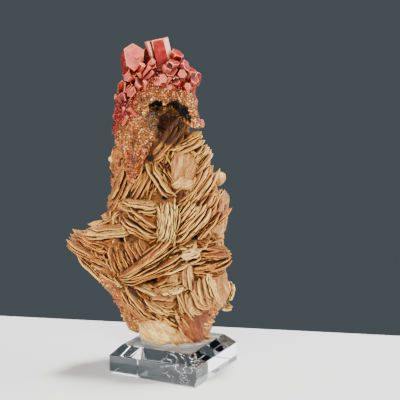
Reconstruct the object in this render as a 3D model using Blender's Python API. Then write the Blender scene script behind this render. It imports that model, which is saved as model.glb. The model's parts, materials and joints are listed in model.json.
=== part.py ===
"""A vanadinite specimen: red hexagonal crystals on a matrix of bladed barite, glued to a bevelled
clear block.

+Z is up, the display face looks along -Y, and the origin is the centre of the block's underside.
Sizes below are in millimetres, and MM turns them into Blender's metres.
"""

import math
import random
from collections import namedtuple

import bmesh
import bpy
from mathutils import Matrix, Vector, noise

MM = 0.001

# Block: a stock square of clear acrylic, 1 1/4 inch by 3/8 inch, with a 1/8 inch bevel round its top.
BLOCK_SIDE = 31.75
BLOCK_HEIGHT = 9.525
BLOCK_BEVEL = 3.175
BLOCK_TURN = -26.0

# Touching pieces keep a gap, wider where points closer than MERGE have become one.
TOUCH_GAP = 0.3
ROOM_GAP = 0.45
MERGE = 0.3
MEND_PASSES = 8

# Glue: a low clear puddle that the specimen's foot is set in.
GLUE_HEIGHT = 1.9
GLUE_MARGIN = 1.6

# Matrix core: how far each level reaches left, right, front and back. The blades stand on it.
Level = namedtuple("Level", "z left right front back")
CORE_LEVELS = [
    Level(10.8, -9.5, 9.8, -7.0, 7.0),
    Level(12.5, -12.8, 11.5, -9.0, 8.5),
    Level(16.0, -16.5, 14.2, -10.0, 10.0),
    Level(21.0, -19.5, 16.6, -10.0, 11.0),
    Level(26.0, -22.5, 17.6, -10.5, 11.5),
    Level(32.0, -25.6, 17.4, -10.5, 11.5),
    Level(38.0, -28.0, 16.5, -10.0, 11.0),
    Level(43.0, -28.0, 16.0, -9.5, 10.5),
    Level(48.0, -22.5, 15.5, -9.0, 10.0),
    Level(54.0, -20.0, 14.5, -8.5, 9.5),
    Level(60.0, -19.0, 14.0, -7.5, 9.5),
    Level(66.0, -18.8, 11.5, -6.0, 9.0),
    Level(72.0, -18.4, 8.5, -4.5, 9.0),
    Level(78.0, -17.2, 6.0, -4.0, 9.0),
    Level(84.0, -16.5, 5.5, -6.0, 9.0),
    Level(90.0, -15.5, 5.0, -7.0, 8.0),
    Level(94.5, -12.0, 2.0, -5.0, 5.5),
    Level(96.5, -8.5, -1.5, -2.0, 2.5),
]
CORE_SIDES = 22
CORE_RINGS = 24
CORE_SQUARENESS = 2.4
CORE_LUMP = 0.9
CORE_LUMP_SIZE = 5.5

# Crystal bed: the crust that the large crystals stand on, with a curtain down the left front and a
# rim down the right of the cave.
BED_LEVELS = [
    Level(86.5, -16.4, 5.6, -8.8, 9.2),
    Level(90.0, -15.8, 5.8, -9.4, 9.0),
    Level(94.0, -14.0, 5.0, -9.2, 8.0),
    Level(97.5, -12.0, 3.2, -7.6, 6.4),
    Level(100.2, -10.0, 0.8, -4.6, 4.4),
    Level(101.4, -8.0, -2.0, -2.0, 2.0),
]
CURTAIN_LEVELS = [
    Level(60.5, -15.4, -12.6, -9.4, -5.0),
    Level(66.0, -16.4, -10.2, -9.8, -2.0),
    Level(71.5, -18.0, -8.6, -10.0, 0.0),
    Level(76.5, -18.6, -6.4, -10.0, 2.0),
    Level(81.0, -18.9, -5.0, -9.6, 4.0),
    Level(88.0, -18.0, -6.2, -9.2, 5.0),
]
RIM_LEVELS = [
    Level(80.4, 6.4, 9.4, -5.6, -0.6),
    Level(82.0, 4.8, 8.4, -7.0, 1.0),
    Level(86.0, 4.2, 6.9, -8.0, 3.0),
    Level(91.0, 1.8, 6.0, -8.8, 3.0),
]
CRUST_SIDES = 18
CRUST_RINGS = 8
CRUST_LUMP = 0.7
CRUST_LUMP_SIZE = 2.6
CRUST_LEAN = 0.16

# Cave: overlapping lumps cut out under the crystals, open to the front. (centre, half sizes)
CAVE_LUMPS = [
    ((-4.2, -6.0, 86.6), (3.2, 10.5, 3.4)),
    ((0.2, -6.0, 85.8), (3.6, 11.0, 3.6)),
    ((2.2, -6.5, 82.8), (2.7, 11.5, 3.8)),
    ((-1.4, -6.5, 81.6), (4.2, 11.5, 4.4)),
    ((-5.2, -9.5, 73.0), (2.4, 6.0, 5.6)),
]

# Barite bundles. x and z are the middle as seen from the front, and y is the front rim. turn is the
# way that the blades run, counterclockwise from +X, and tilt shows their faces instead of their
# rims. Blades are stacked across their run, step apart, and spread by fan degrees from the pivot.
Bundle = namedtuple("Bundle", "name x z y turn tilt length depth blades step fan pivot thick")
FRONT_BUNDLES = [
    Bundle("fin roof", -20.5, 48.4, -10.0, 8, 12, 18.0, 11, 2, 1.7, -4, 1, 1.5),
    Bundle("fin face", -26.5, 42.0, -7.5, -17, 35, 19.0, 10, 3, 1.5, 9, -1, 1.6),
    Bundle("fin edge", -28.0, 35.5, -4.0, -42, 10, 21.0, 10, 2, 1.6, 7, -1, 1.8),
    Bundle("fin inner", -17.0, 40.0, -12.5, -72, 6, 15.0, 11, 3, 1.7, 3, -1, 1.3),
    Bundle("steps", -11.0, 42.5, -10.5, -58, 40, 10.5, 8, 4, 2.3, 0, 0, 1.8),
    Bundle("upper slant", -9.8, 50.5, -12.0, -32, 10, 13.5, 10, 3, 1.5, -6, 1, 1.5),
    Bundle("rows", -10.5, 56.0, -11.0, -5, 12, 12.0, 9, 2, 2.0, 0, 0, 1.5),
    Bundle("front leaf", -7.5, 37.5, -16.0, 29, 8, 21.5, 13, 4, 0.7, 6, -1, 1.3),
    Bundle("under leaf", -0.5, 36.4, -14.5, 18, 10, 12.0, 9, 1, 1.0, 0, 0, 1.5),
    Bundle("pale blade", 5.5, 41.5, -14.0, 21, 25, 11.0, 8, 1, 1.0, 0, 0, 1.6),
    Bundle("right fan", 11.3, 38.5, -9.5, 3, 6, 15.5, 11, 5, 0.7, -10, 1, 1.4),
    Bundle("diagonal low", 5.0, 51.0, -12.5, 47, 8, 16.5, 11, 3, 2.1, 2, -1, 1.4),
    Bundle("diagonal right", 11.3, 53.0, -9.0, 48, 8, 19.0, 11, 3, 2.2, 2, -1, 1.4),
    Bundle("diagonal high", 8.0, 61.0, -8.5, 56, 20, 19.0, 9, 2, 2.4, 0, 0, 1.6),
    Bundle("broad face", 1.2, 65.0, -8.6, 65, 72, 13.5, 7.5, 1, 1.0, 0, 0, 2.2),
    Bundle("pale column", -1.8, 50.8, -14.0, 81, 15, 13.5, 10, 3, 1.7, -3, 0, 1.4),
    Bundle("crossed pair", -4.0, 64.5, -10.5, -57, 10, 13.5, 8, 2, 2.0, 0, 0, 1.2),
    Bundle("steep left", -11.2, 62.0, -9.0, 61, 14, 16.5, 9, 3, 2.2, 2, -1, 1.5),
    Bundle("left edge", -18.0, 57.5, -4.0, 66, 10, 15.0, 9, 2, 2.0, 3, -1, 1.7),
    Bundle("cave floor", -1.8, 73.0, -4.5, 52, 42, 17.0, 7, 2, 2.6, 0, 0, 1.8),
    Bundle("cave sill", 4.4, 75.6, -7.0, 24, 12, 12.5, 8, 2, 1.8, 4, 1, 1.4),
    Bundle("corner plate", 4.2, 72.6, -8.0, 35, 60, 8.5, 6, 1, 1.0, 0, 0, 1.8),
    Bundle("shoulder", 8.0, 70.4, -6.0, 48, 12, 10.5, 8, 2, 2.2, 0, 0, 1.5),
    Bundle("knob", 15.0, 62.6, 1.0, 90, 68, 5.5, 6, 1, 1.0, 0, 0, 1.8),
    Bundle("right edge", 14.8, 51.0, 1.0, 84, -30, 18.0, 9, 2, 2.0, 0, 0, 1.8),
    Bundle("bowl rim", -3.3, 30.6, -14.5, -2, 14, 15.5, 9, 1, 1.0, 0, 0, 1.4),
    Bundle("bowl plate", -0.8, 33.4, -10.8, 85, 75, 6.0, 4.5, 1, 1.0, 0, 0, 1.6),
    Bundle("bowl wing", 3.2, 33.0, -10.8, 100, 80, 5.5, 4.0, 1, 1.0, 0, 0, 1.6),
    Bundle("low slant", -10.0, 24.5, -12.5, -46, 8, 16.5, 9, 3, 2.0, 3, -1, 1.4),
    Bundle("low front", -5.0, 22.8, -14.0, -36, 14, 13.0, 8, 2, 1.8, 0, 0, 1.4),
    Bundle("foot left", -3.8, 15.4, -11.6, -12, 78, 14.0, 8.5, 1, 1.0, 0, 0, 3.0),
    Bundle("foot right", 6.2, 16.0, -10.0, 10, 80, 10.5, 9.5, 1, 1.0, 0, 0, 3.0),
    Bundle("long petal", 5.5, 28.5, -12.8, -80, 52, 18.5, 6, 1, 1.0, 0, 0, 1.8),
    Bundle("right petal", 10.2, 26.4, -11.0, -63, 48, 13.0, 6.5, 1, 1.0, 0, 0, 1.8),
    Bundle("low petal", 2.4, 22.0, -13.2, -64, 50, 9.5, 6, 1, 1.0, 0, 0, 1.6),
    Bundle("right face", 13.8, 28.4, -5.8, -82, 76, 15.5, 8.5, 1, 1.0, 0, 0, 2.4),
    Bundle("right knob", 18.4, 25.2, -1.0, 68, 20, 8.0, 7, 2, 1.8, 0, 0, 1.5),
    Bundle("glass tip", 17.0, 19.4, -1.0, 2, 10, 5.0, 5, 1, 1.0, 0, 0, 1.1),
    Bundle("notch", 9.4, 18.0, -10.4, -31, 10, 8.5, 7, 2, 1.6, 0, 0, 1.3),
]

# Round the sides and the back the bundles are set by angle from the front and by height.
BACK_ANGLES = (68, 112, 156, 200, 244)
BACK_HEIGHTS = (19, 32, 45, 58, 71)
BACK_STAND = 1.2
BACK_SEED = 11

# Large crystals. x, y and z are the middle of the end face, facing is the way that it points,
# degrees round from the front towards the right, and climb is degrees above level.
Crystal = namedtuple("Crystal", "x y z facing climb radius length twist")
LARGE_CRYSTALS = [
    Crystal(-12.7, -8.4, 104.3, -14, 24, 3.7, 9.5, 10),
    Crystal(-4.6, -3.6, 108.9, -60, 78, 2.9, 12.0, 18),
    Crystal(-8.6, -3.0, 107.6, -70, 72, 1.2, 9.0, 0),
    Crystal(1.6, -4.2, 104.8, 40, 58, 2.2, 8.0, 6),
    Crystal(2.9, -9.6, 98.0, 12, 12, 1.6, 5.0, 30),
    Crystal(2.6, -6.6, 100.9, 22, 62, 2.4, 6.0, 10),
    Crystal(7.6, -3.4, 95.6, 74, -8, 2.2, 7.5, 14),
    Crystal(5.8, -5.2, 98.6, 55, 25, 1.9, 6.0, 25),
    Crystal(5.4, -7.4, 93.0, 42, -8, 1.9, 5.5, 4),
    Crystal(-1.4, -9.2, 100.0, 4, 40, 2.2, 6.5, 20),
    Crystal(-6.8, -7.8, 102.6, -4, 48, 1.8, 6.0, 8),
    Crystal(-5.2, -10.9, 95.0, -20, 14, 1.35, 3.6, 16),
    Crystal(-3.0, -10.8, 95.7, 22, 20, 1.25, 3.4, 0),
    Crystal(-8.3, -10.6, 95.6, -8, 48, 0.9, 4.2, 22),
    Crystal(-9.2, -9.8, 99.8, 12, 58, 1.15, 6.5, 12),
    Crystal(-11.0, -9.2, 97.6, -16, 62, 1.05, 5.6, 3),
    Crystal(-14.2, -6.6, 97.0, -46, 18, 1.5, 4.6, 28),
    Crystal(-17.3, -5.4, 93.4, -60, 6, 2.1, 5.6, 10),
    Crystal(-13.4, -9.8, 92.2, -20, -4, 1.8, 4.6, 18),
    Crystal(-16.2, -8.4, 90.2, -40, -18, 1.6, 4.6, 6),
    Crystal(-18.6, -4.4, 88.6, -72, 0, 1.5, 4.8, 24),
    Crystal(-13.4, -10.9, 85.9, -30, 30, 0.85, 3.0, 0),
    Crystal(-15.6, -9.8, 87.2, 10, 36, 0.75, 3.0, 14),
    Crystal(-14.4, -11.0, 83.2, -24, 46, 0.8, 3.0, 9),
    Crystal(9.7, -3.6, 81.8, 72, 10, 1.3, 3.6, 20),
    Crystal(8.0, -5.4, 83.0, 40, 30, 0.9, 2.6, 10),
]
CROWN_BACK_CRYSTALS = 20
CROWN_BACK_RADII = (1.1, 2.7)
CROWN_BACK_SEED = 4
SMALL_CRYSTALS = 44
SMALL_RADII = (0.5, 0.95)
SMALL_SEED = 9


def clear_scene():
    for thing in list(bpy.data.objects):
        bpy.data.objects.remove(thing)


def material(name, colour, roughness, see_through=0.0, ior=1.5):
    """A Principled BSDF of that colour; see_through is its transmission."""
    made = bpy.data.materials.new(name)
    made.use_nodes = True
    shader = made.node_tree.nodes["Principled BSDF"]
    shader.inputs["Base Color"].default_value = (*colour, 1.0)
    shader.inputs["Roughness"].default_value = roughness
    shader.inputs["Metallic"].default_value = 0.0
    shader.inputs["Transmission Weight"].default_value = see_through
    shader.inputs["IOR"].default_value = ior
    made.diffuse_color = (*colour, 1.0)
    return made


def object_from(name, body, helper=False):
    """An object made of a body in millimetres; a helper isn't part of the model."""
    mesh = bpy.data.meshes.new(name)
    body.normal_update()
    bmesh.ops.recalc_face_normals(body, faces=body.faces)
    bmesh.ops.scale(body, vec=(MM, MM, MM), verts=body.verts)
    body.to_mesh(mesh)
    body.free()
    made = bpy.data.objects.new(name, mesh)
    bpy.context.scene.collection.objects.link(made)
    if helper:
        made.hide_render = True
        made.display_type = "WIRE"
    return made


def level_at(levels, z):
    """The reach of a stack of levels at height z, eased between the two nearest levels."""
    for low, high in zip(levels, levels[1:]):
        if z <= high.z:
            share = (z - low.z) / (high.z - low.z)
            return Level(z, *(a + (b - a) * share for a, b in zip(low[1:], high[1:])))
    return levels[-1]


def lumpiness(point, lump, lump_size):
    """How far the surface stands out at a point, in millimetres."""
    coarse = noise.noise(point / lump_size)
    fine = noise.noise(point / (lump_size * 0.45))
    return lump * (coarse + 0.5 * fine)


def wall_point(levels, z, angle, lump, lump_size, grow=0.0, lean=0.0):
    """The point of a stacked body's wall at height z and angle, counterclockwise from +X.

    lean lowers the points behind the origin and raises those in front of it.
    """
    level = level_at(levels, min(max(z, levels[0].z), levels[-1].z))
    middle = Vector(((level.left + level.right) / 2, (level.front + level.back) / 2, z))
    half_x, half_y = (level.right - level.left) / 2, (level.back - level.front) / 2
    c, s = math.cos(angle), math.sin(angle)
    power = 2 / CORE_SQUARENESS
    reach = Vector((
        half_x * math.copysign(abs(c) ** power, c),
        half_y * math.copysign(abs(s) ** power, s),
        0,
    ))
    out = grow + lumpiness(middle + reach, lump, lump_size)
    wall = middle + reach + reach.normalized() * out
    wall.z -= lean * wall.y
    return wall


def stacked_body(name, levels, sides, rings, lump, lump_size, grow=0.0, lean=0.0):
    """A closed lumpy body through the levels; grow swells it on every side."""
    body = bmesh.new()
    low, high = levels[0].z - grow, levels[-1].z + grow
    loops = []
    for ring in range(rings + 1):
        z = low + (high - low) * ring / rings
        loop = []
        for side in range(sides):
            angle = math.tau * side / sides
            wall = wall_point(levels, z, angle, lump, lump_size, grow, lean)
            loop.append(body.verts.new(wall))
        loops.append(loop)
    for lower, upper in zip(loops, loops[1:]):
        for side in range(sides):
            after = (side + 1) % sides
            body.faces.new((lower[side], lower[after], upper[after], upper[side]))
    body.faces.new(reversed(loops[0]))
    body.faces.new(loops[-1])
    bmesh.ops.triangulate(body, faces=body.faces)
    return object_from(name, body, helper=True)


def cave_lump(name, centre, half_sizes):
    """One rounded lump of the cave's cutter."""
    body = bmesh.new()
    bmesh.ops.create_icosphere(body, subdivisions=2, radius=1.0)
    for vert in body.verts:
        rough = 1 + 0.16 * noise.noise(vert.co * 2.2 + Vector(centre))
        vert.co = Vector(a * b * rough for a, b in zip(vert.co, half_sizes)) + Vector(centre)
    return object_from(name, body, helper=True)


def bundle_frames(bundle, heading=0.0):
    """Each blade's middle and its (run, depth, normal) directions, for a bundle seen from heading."""
    around = Matrix.Rotation(math.radians(heading), 3, "Z")
    into = around @ Vector((0, 1, 0))
    centre = Vector((bundle.x, bundle.y, bundle.z))
    tilt = math.radians(bundle.tilt)
    middle_blade = (bundle.blades - 1) / 2
    base_run, base_up = run_and_up(bundle.turn, around)
    pivot = centre + base_run * (bundle.pivot * bundle.length / 2)
    for number in range(bundle.blades):
        offset = number - middle_blade
        run, up = run_and_up(bundle.turn + bundle.fan * offset, around)
        depth = into * math.cos(tilt) + up * math.sin(tilt)
        normal = up * math.cos(tilt) - into * math.sin(tilt)
        middle = pivot + base_up * (bundle.step * offset) - run * (bundle.pivot * bundle.length / 2)
        middle += into * (abs(math.cos(tilt)) * bundle.depth / 2)
        yield middle, run, depth, normal


def run_and_up(turn, around):
    angle = math.radians(turn)
    run = around @ Vector((math.cos(angle), 0, math.sin(angle)))
    up = around @ Vector((-math.sin(angle), 0, math.cos(angle)))
    return run, up


def blade(name, middle, run, depth, normal, bundle, dice, points=6):
    """A tabular blade: a ragged oval sheet, thickest inside and thin at its rim."""
    body = bmesh.new()
    rim, top, bottom = [], [], []
    for number in range(points):
        angle = math.tau * (number + 0.5 + dice.uniform(-0.2, 0.2)) / points
        reach = dice.uniform(0.9, 1.04)
        c, s = math.cos(angle), math.sin(angle)
        across = run * (math.copysign(abs(c) ** 0.9, c) * bundle.length / 2 * reach)
        across += depth * (math.copysign(abs(s) ** 0.7, s) * bundle.depth / 2 * reach)
        bulge = normal * (bundle.thick / 2)
        inset = dice.uniform(0.6, 0.74)
        rim.append(body.verts.new(middle + across))
        top.append(body.verts.new(middle + across * inset + bulge))
        bottom.append(body.verts.new(middle + across * inset - bulge))
    for number in range(points):
        after = (number + 1) % points
        body.faces.new((rim[number], rim[after], top[after], top[number]))
        body.faces.new((rim[after], rim[number], bottom[number], bottom[after]))
    body.faces.new(top)
    body.faces.new(reversed(bottom))
    bmesh.ops.triangulate(body, faces=body.faces)
    return object_from(name, body, helper=True)


def back_bundles():
    """(bundle, heading) for the sides and the back, set on the core's wall."""
    dice = random.Random(BACK_SEED)
    for row, height in enumerate(BACK_HEIGHTS):
        for place, turned in enumerate(BACK_ANGLES):
            heading = turned + 18 * (row % 2) + dice.uniform(-6, 6)
            z = height + dice.uniform(-2, 2) + 2.5 * (place % 2)
            wall = wall_point(
                CORE_LEVELS, z, math.radians(heading - 90), CORE_LUMP, CORE_LUMP_SIZE, BACK_STAND
            )
            turn = dice.choice((-62, -35, -12, 15, 40, 66, 85)) + dice.uniform(-8, 8)
            length, tilt = dice.uniform(11, 15), dice.choice((8, 15, 30, 55))
            yield Bundle(
                "back", wall.x, wall.z, wall.y, turn, tilt, length, 8, 2, 2.3, 0, 0, 1.7
            ), heading


def hexagonal_prism(name, crystal, grow=0.0):
    """A crystal with its six side faces and a flat end at both ends; grow swells it."""
    body = bmesh.new()
    bmesh.ops.create_cone(
        body,
        cap_ends=True,
        segments=6,
        radius1=crystal.radius + grow,
        radius2=crystal.radius + grow,
        depth=crystal.length + 2 * grow,
    )
    facing, climb = math.radians(crystal.facing), math.radians(crystal.climb)
    axis = Vector((
        math.sin(facing) * math.cos(climb),
        -math.cos(facing) * math.cos(climb),
        math.sin(climb),
    ))
    turned = axis.to_track_quat("Z", "Y").to_matrix() @ Matrix.Rotation(
        math.radians(crystal.twist), 3, "Z"
    )
    end = Vector((crystal.x, crystal.y, crystal.z)) - axis * (crystal.length / 2)
    for vert in body.verts:
        vert.co = turned @ vert.co + end
    return object_from(name, body, helper=True)


def bed_point(levels, z, heading):
    """A point of a crust's wall in the direction of heading, degrees from the front."""
    angle = math.radians(heading - 90)
    return wall_point(levels, z, angle, CRUST_LUMP, CRUST_LUMP_SIZE, lean=CRUST_LEAN)


def crown_back_crystals():
    """Large crystals over the top, the sides and the back of the crown."""
    dice = random.Random(CROWN_BACK_SEED)
    for number in range(CROWN_BACK_CRYSTALS):
        heading = 70 + 220 * (number + 0.5) / CROWN_BACK_CRYSTALS + dice.uniform(-6, 6)
        z = (88.5, 92.5, 96.5, 99.5)[number % 4] + dice.uniform(-1, 1)
        wall = bed_point(BED_LEVELS, z, heading)
        radius = dice.uniform(*CROWN_BACK_RADII)
        climb = max(0.0, (z - 88) * 6) + dice.uniform(-15, 15)
        stand = radius * dice.uniform(0.9, 1.7)
        facing = heading + dice.uniform(-22, 22)
        level = math.cos(math.radians(climb))
        end = wall + stand * Vector((
            math.sin(math.radians(facing)) * level,
            -math.cos(math.radians(facing)) * level,
            math.sin(math.radians(climb)),
        ))
        twist = dice.uniform(0, 60)
        yield Crystal(*end, facing, climb, radius, stand + radius * 1.6, twist)


def small_crystals():
    """Small crystals over the bed, the curtain and the rim."""
    dice = random.Random(SMALL_SEED)
    shares = ((BED_LEVELS, 0.4, -80, 250), (CURTAIN_LEVELS, 0.45, -70, 40), (RIM_LEVELS, 0.15, -20, 90))
    for levels, share, first, last in shares:
        for _ in range(round(SMALL_CRYSTALS * share)):
            z = dice.uniform(levels[0].z + 0.8, levels[-1].z - 0.8)
            heading = dice.uniform(first, last)
            wall = bed_point(levels, z, heading)
            radius = dice.uniform(*SMALL_RADII)
            facing, climb = heading + dice.uniform(-35, 35), dice.uniform(-30, 50)
            level = math.cos(math.radians(climb))
            end = wall + radius * Vector((
                math.sin(math.radians(facing)) * level,
                -math.cos(math.radians(facing)) * level,
                math.sin(math.radians(climb)),
            ))
            yield Crystal(*end, facing, climb, radius, radius * 2.6, dice.uniform(0, 60))


def gather(name, things):
    """A collection of helper objects, for a Boolean's operand."""
    group = bpy.data.collections.new(name)
    group.hide_render = True
    bpy.context.scene.collection.children.link(group)
    for thing in things:
        bpy.context.scene.collection.objects.unlink(thing)
        group.objects.link(thing)
    return group


def combine(base, operation, group):
    """A Boolean of base with every object of the group."""
    step = base.modifiers.new(operation.lower(), "BOOLEAN")
    step.operation = operation
    step.operand_type = "COLLECTION"
    step.collection = group


def evaluated_body(thing):
    """Thing's mesh after its modifiers, in millimetres."""
    graph = bpy.context.evaluated_depsgraph_get()
    body = bmesh.new()
    body.from_mesh(thing.evaluated_get(graph).to_mesh())
    bmesh.ops.scale(body, vec=(1 / MM, 1 / MM, 1 / MM), verts=body.verts)
    return body


def settle(thing, name):
    """A new object holding thing's evaluated mesh, as one closed body of few small faces."""
    body = evaluated_body(thing)
    bmesh.ops.remove_doubles(body, verts=body.verts, dist=MERGE)
    bmesh.ops.dissolve_degenerate(body, edges=body.edges, dist=MERGE / 2)
    bmesh.ops.triangulate(body, faces=body.faces)
    mend(body)
    drop_small_islands(body)
    return object_from(name, body)


def mend(body):
    """Refill the places where merging has left faces back to back or an edge with too many."""
    for _ in range(MEND_PASSES):
        drop_twin_faces(body)
        bad = [edge for edge in body.edges if len(edge.link_faces) != 2]
        if not bad:
            return
        around = {face for edge in bad for vert in edge.verts for face in vert.link_faces}
        bmesh.ops.delete(body, geom=list(around), context="FACES_ONLY")
        drop_loose(body)
        open_edges = [edge for edge in body.edges if len(edge.link_faces) == 1]
        bmesh.ops.holes_fill(body, edges=open_edges, sides=0)
        bmesh.ops.triangulate(body, faces=body.faces)


def drop_twin_faces(body):
    """Remove faces that share all of their corners, in pairs."""
    body.verts.index_update()
    same_corners = {}
    for face in body.faces:
        corners = frozenset(vert.index for vert in face.verts)
        same_corners.setdefault(corners, []).append(face)
    twins = []
    for faces in same_corners.values():
        if len(faces) > 1:
            twins += faces[len(faces) % 2:]
    bmesh.ops.delete(body, geom=twins, context="FACES_ONLY")
    drop_loose(body)


def drop_loose(body):
    loose_edges = [edge for edge in body.edges if not edge.link_faces]
    bmesh.ops.delete(body, geom=loose_edges, context="EDGES")
    loose_verts = [vert for vert in body.verts if not vert.link_edges]
    bmesh.ops.delete(body, geom=loose_verts, context="VERTS")


def drop_small_islands(body):
    """Keep only the largest part whose faces meet along edges."""
    unseen, islands = set(body.faces), []
    while unseen:
        island, to_visit = [], [unseen.pop()]
        while to_visit:
            face = to_visit.pop()
            island.append(face)
            for edge in face.edges:
                for other in edge.link_faces:
                    if other in unseen:
                        unseen.discard(other)
                        to_visit.append(other)
        islands.append(island)
    islands.sort(key=len)
    small = [face for island in islands[:-1] for face in island]
    bmesh.ops.delete(body, geom=small, context="FACES_ONLY")
    drop_loose(body)


def make_block(finish):
    """The clear block: a square slab with its top edges bevelled at 45 degrees."""
    body = bmesh.new()
    bmesh.ops.create_cube(body, size=1.0)
    for vert in body.verts:
        vert.co.x *= BLOCK_SIDE
        vert.co.y *= BLOCK_SIDE
        vert.co.z = (vert.co.z + 0.5) * BLOCK_HEIGHT
    top_edges = [e for e in body.edges if all(v.co.z > BLOCK_HEIGHT / 2 for v in e.verts)]
    bmesh.ops.bevel(
        body, geom=top_edges, offset=BLOCK_BEVEL, segments=1, affect="EDGES", profile=0.5
    )
    block = object_from("display_block", body)
    block.rotation_euler.z = math.radians(BLOCK_TURN)
    block.data.materials.append(finish)
    return block


def make_glue(finish):
    """The clear puddle of glue, hollowed to the specimen's foot."""
    foot = CORE_LEVELS[0]
    low, high = BLOCK_HEIGHT + TOUCH_GAP, BLOCK_HEIGHT + GLUE_HEIGHT
    puddle = [
        Level(low, foot.left - GLUE_MARGIN, foot.right + GLUE_MARGIN,
              foot.front - GLUE_MARGIN, foot.back + GLUE_MARGIN),
        Level(high, foot.left - 0.5, foot.right + 0.5, foot.front - 0.5, foot.back + 0.5),
    ]
    glue = stacked_body("puddle", puddle, CORE_SIDES, 3, 0.5, 2.0)
    foot_cut = core_body("foot_cut", TOUCH_GAP)
    combine(glue, "DIFFERENCE", gather("glue_cuts", [foot_cut]))
    settled = settle(glue, "clear_glue")
    settled.data.materials.append(finish)
    return settled


def core_body(name, grow=0.0):
    return stacked_body(
        name, CORE_LEVELS, CORE_SIDES, CORE_RINGS, CORE_LUMP, CORE_LUMP_SIZE, grow
    )


def crust_body(name, levels, grow=0.0):
    return stacked_body(
        name, levels, CRUST_SIDES, CRUST_RINGS, CRUST_LUMP, CRUST_LUMP_SIZE, grow, CRUST_LEAN
    )


def cave(name):
    return [cave_lump(f"{name}_{i}", *lump) for i, lump in enumerate(CAVE_LUMPS)]


def all_crystals():
    return [*LARGE_CRYSTALS, *crown_back_crystals(), *small_crystals()]


def make_crystals(finish):
    """The vanadinite: the bed, the curtain, the rim and every crystal, as one solid."""
    bed = crust_body("bed", BED_LEVELS)
    grown = [crust_body("curtain", CURTAIN_LEVELS), crust_body("rim", RIM_LEVELS)]
    grown += [hexagonal_prism(f"crystal_{i}", c) for i, c in enumerate(all_crystals())]
    combine(bed, "UNION", gather("grown", grown))
    combine(bed, "DIFFERENCE", gather("crystal_cave", cave("crystal_cave")))
    crystals = settle(bed, "vanadinite_crystals")
    crystals.data.materials.append(finish)
    return crystals


def make_matrix(finish):
    """The barite: the core and its blades, as one solid, clear of the crystals and the glue."""
    dice = random.Random(BACK_SEED)
    blades = []
    for bundle in FRONT_BUNDLES:
        for frame in bundle_frames(bundle):
            blades.append(blade(f"blade_{len(blades)}", *frame, bundle, dice))
    for bundle, heading in back_bundles():
        for frame in bundle_frames(bundle, heading):
            blades.append(blade(f"blade_{len(blades)}", *frame, bundle, dice))
    room = [
        crust_body("bed_room", BED_LEVELS, ROOM_GAP),
        crust_body("curtain_room", CURTAIN_LEVELS, ROOM_GAP),
        crust_body("rim_room", RIM_LEVELS, ROOM_GAP),
    ]
    room += [
        hexagonal_prism(f"crystal_room_{i}", c, ROOM_GAP) for i, c in enumerate(all_crystals())
    ]
    core = core_body("core")
    combine(core, "UNION", gather("blades", blades))
    combine(core, "DIFFERENCE", gather("room", [*room, *cave("matrix_cave")]))
    matrix = settle(core, "barite_matrix")
    matrix.data.materials.append(finish)
    return matrix


def main():
    clear_scene()
    make_block(material("clear acrylic", (0.93, 0.95, 0.95), 0.03, 1.0, 1.49))
    make_glue(material("clear glue", (0.9, 0.9, 0.86), 0.15, 0.9, 1.48))
    make_crystals(material("vanadinite", (0.62, 0.11, 0.055), 0.2))
    make_matrix(material("barite", (0.72, 0.45, 0.24), 0.7))


main()
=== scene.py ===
"""The visible surfaces of a vanadinite specimen on its clear block.

Fine barite blades stand in fans on a granular body, hexagonal vanadinite crystals crown it over a
crystal crust and a dark cave, and the foot is glued to a bevelled clear block. +Z is up and the
display face looks along -Y. Tables are in millimetres, settings in metres.
"""

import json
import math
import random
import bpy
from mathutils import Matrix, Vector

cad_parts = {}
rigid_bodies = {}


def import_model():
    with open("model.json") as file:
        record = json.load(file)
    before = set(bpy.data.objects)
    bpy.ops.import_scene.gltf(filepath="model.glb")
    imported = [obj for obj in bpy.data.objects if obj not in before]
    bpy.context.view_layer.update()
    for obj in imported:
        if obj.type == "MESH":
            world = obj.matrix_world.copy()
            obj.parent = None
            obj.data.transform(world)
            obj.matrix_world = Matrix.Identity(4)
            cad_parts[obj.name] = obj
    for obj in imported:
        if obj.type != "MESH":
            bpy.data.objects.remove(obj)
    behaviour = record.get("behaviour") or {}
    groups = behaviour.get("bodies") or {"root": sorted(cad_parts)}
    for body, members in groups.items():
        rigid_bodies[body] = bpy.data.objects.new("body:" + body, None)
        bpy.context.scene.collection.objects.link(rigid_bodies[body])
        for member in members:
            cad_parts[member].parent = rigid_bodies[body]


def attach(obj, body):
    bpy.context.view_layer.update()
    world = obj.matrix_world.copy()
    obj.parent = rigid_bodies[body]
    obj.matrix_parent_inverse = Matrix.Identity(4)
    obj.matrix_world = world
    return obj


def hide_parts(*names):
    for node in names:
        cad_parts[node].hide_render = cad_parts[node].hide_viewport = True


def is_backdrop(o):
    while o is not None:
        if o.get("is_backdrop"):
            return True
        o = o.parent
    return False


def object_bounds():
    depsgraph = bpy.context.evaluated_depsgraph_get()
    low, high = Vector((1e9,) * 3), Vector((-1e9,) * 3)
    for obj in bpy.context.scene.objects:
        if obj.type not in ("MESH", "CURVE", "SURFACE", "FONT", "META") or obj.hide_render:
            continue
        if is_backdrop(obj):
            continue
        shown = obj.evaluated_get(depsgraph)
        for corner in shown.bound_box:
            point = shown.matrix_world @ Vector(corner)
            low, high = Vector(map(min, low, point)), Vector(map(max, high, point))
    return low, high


bl_info = {
    "name": "Vanadinite Specimen",
    "version": (1, 0, 0),
    "blender": (4, 5, 0),
    "location": "View3D > Sidebar > Specimen",
    "description": "Builds the visible surfaces of a vanadinite specimen on its clear block",
    "category": "Add Mesh",
}

from collections import namedtuple

import bmesh
import bpy
from bpy.props import FloatProperty, FloatVectorProperty, PointerProperty
from mathutils import Matrix, Vector, noise

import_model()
CAD_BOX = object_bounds()
BODY = "root"
MM = 0.001

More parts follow.
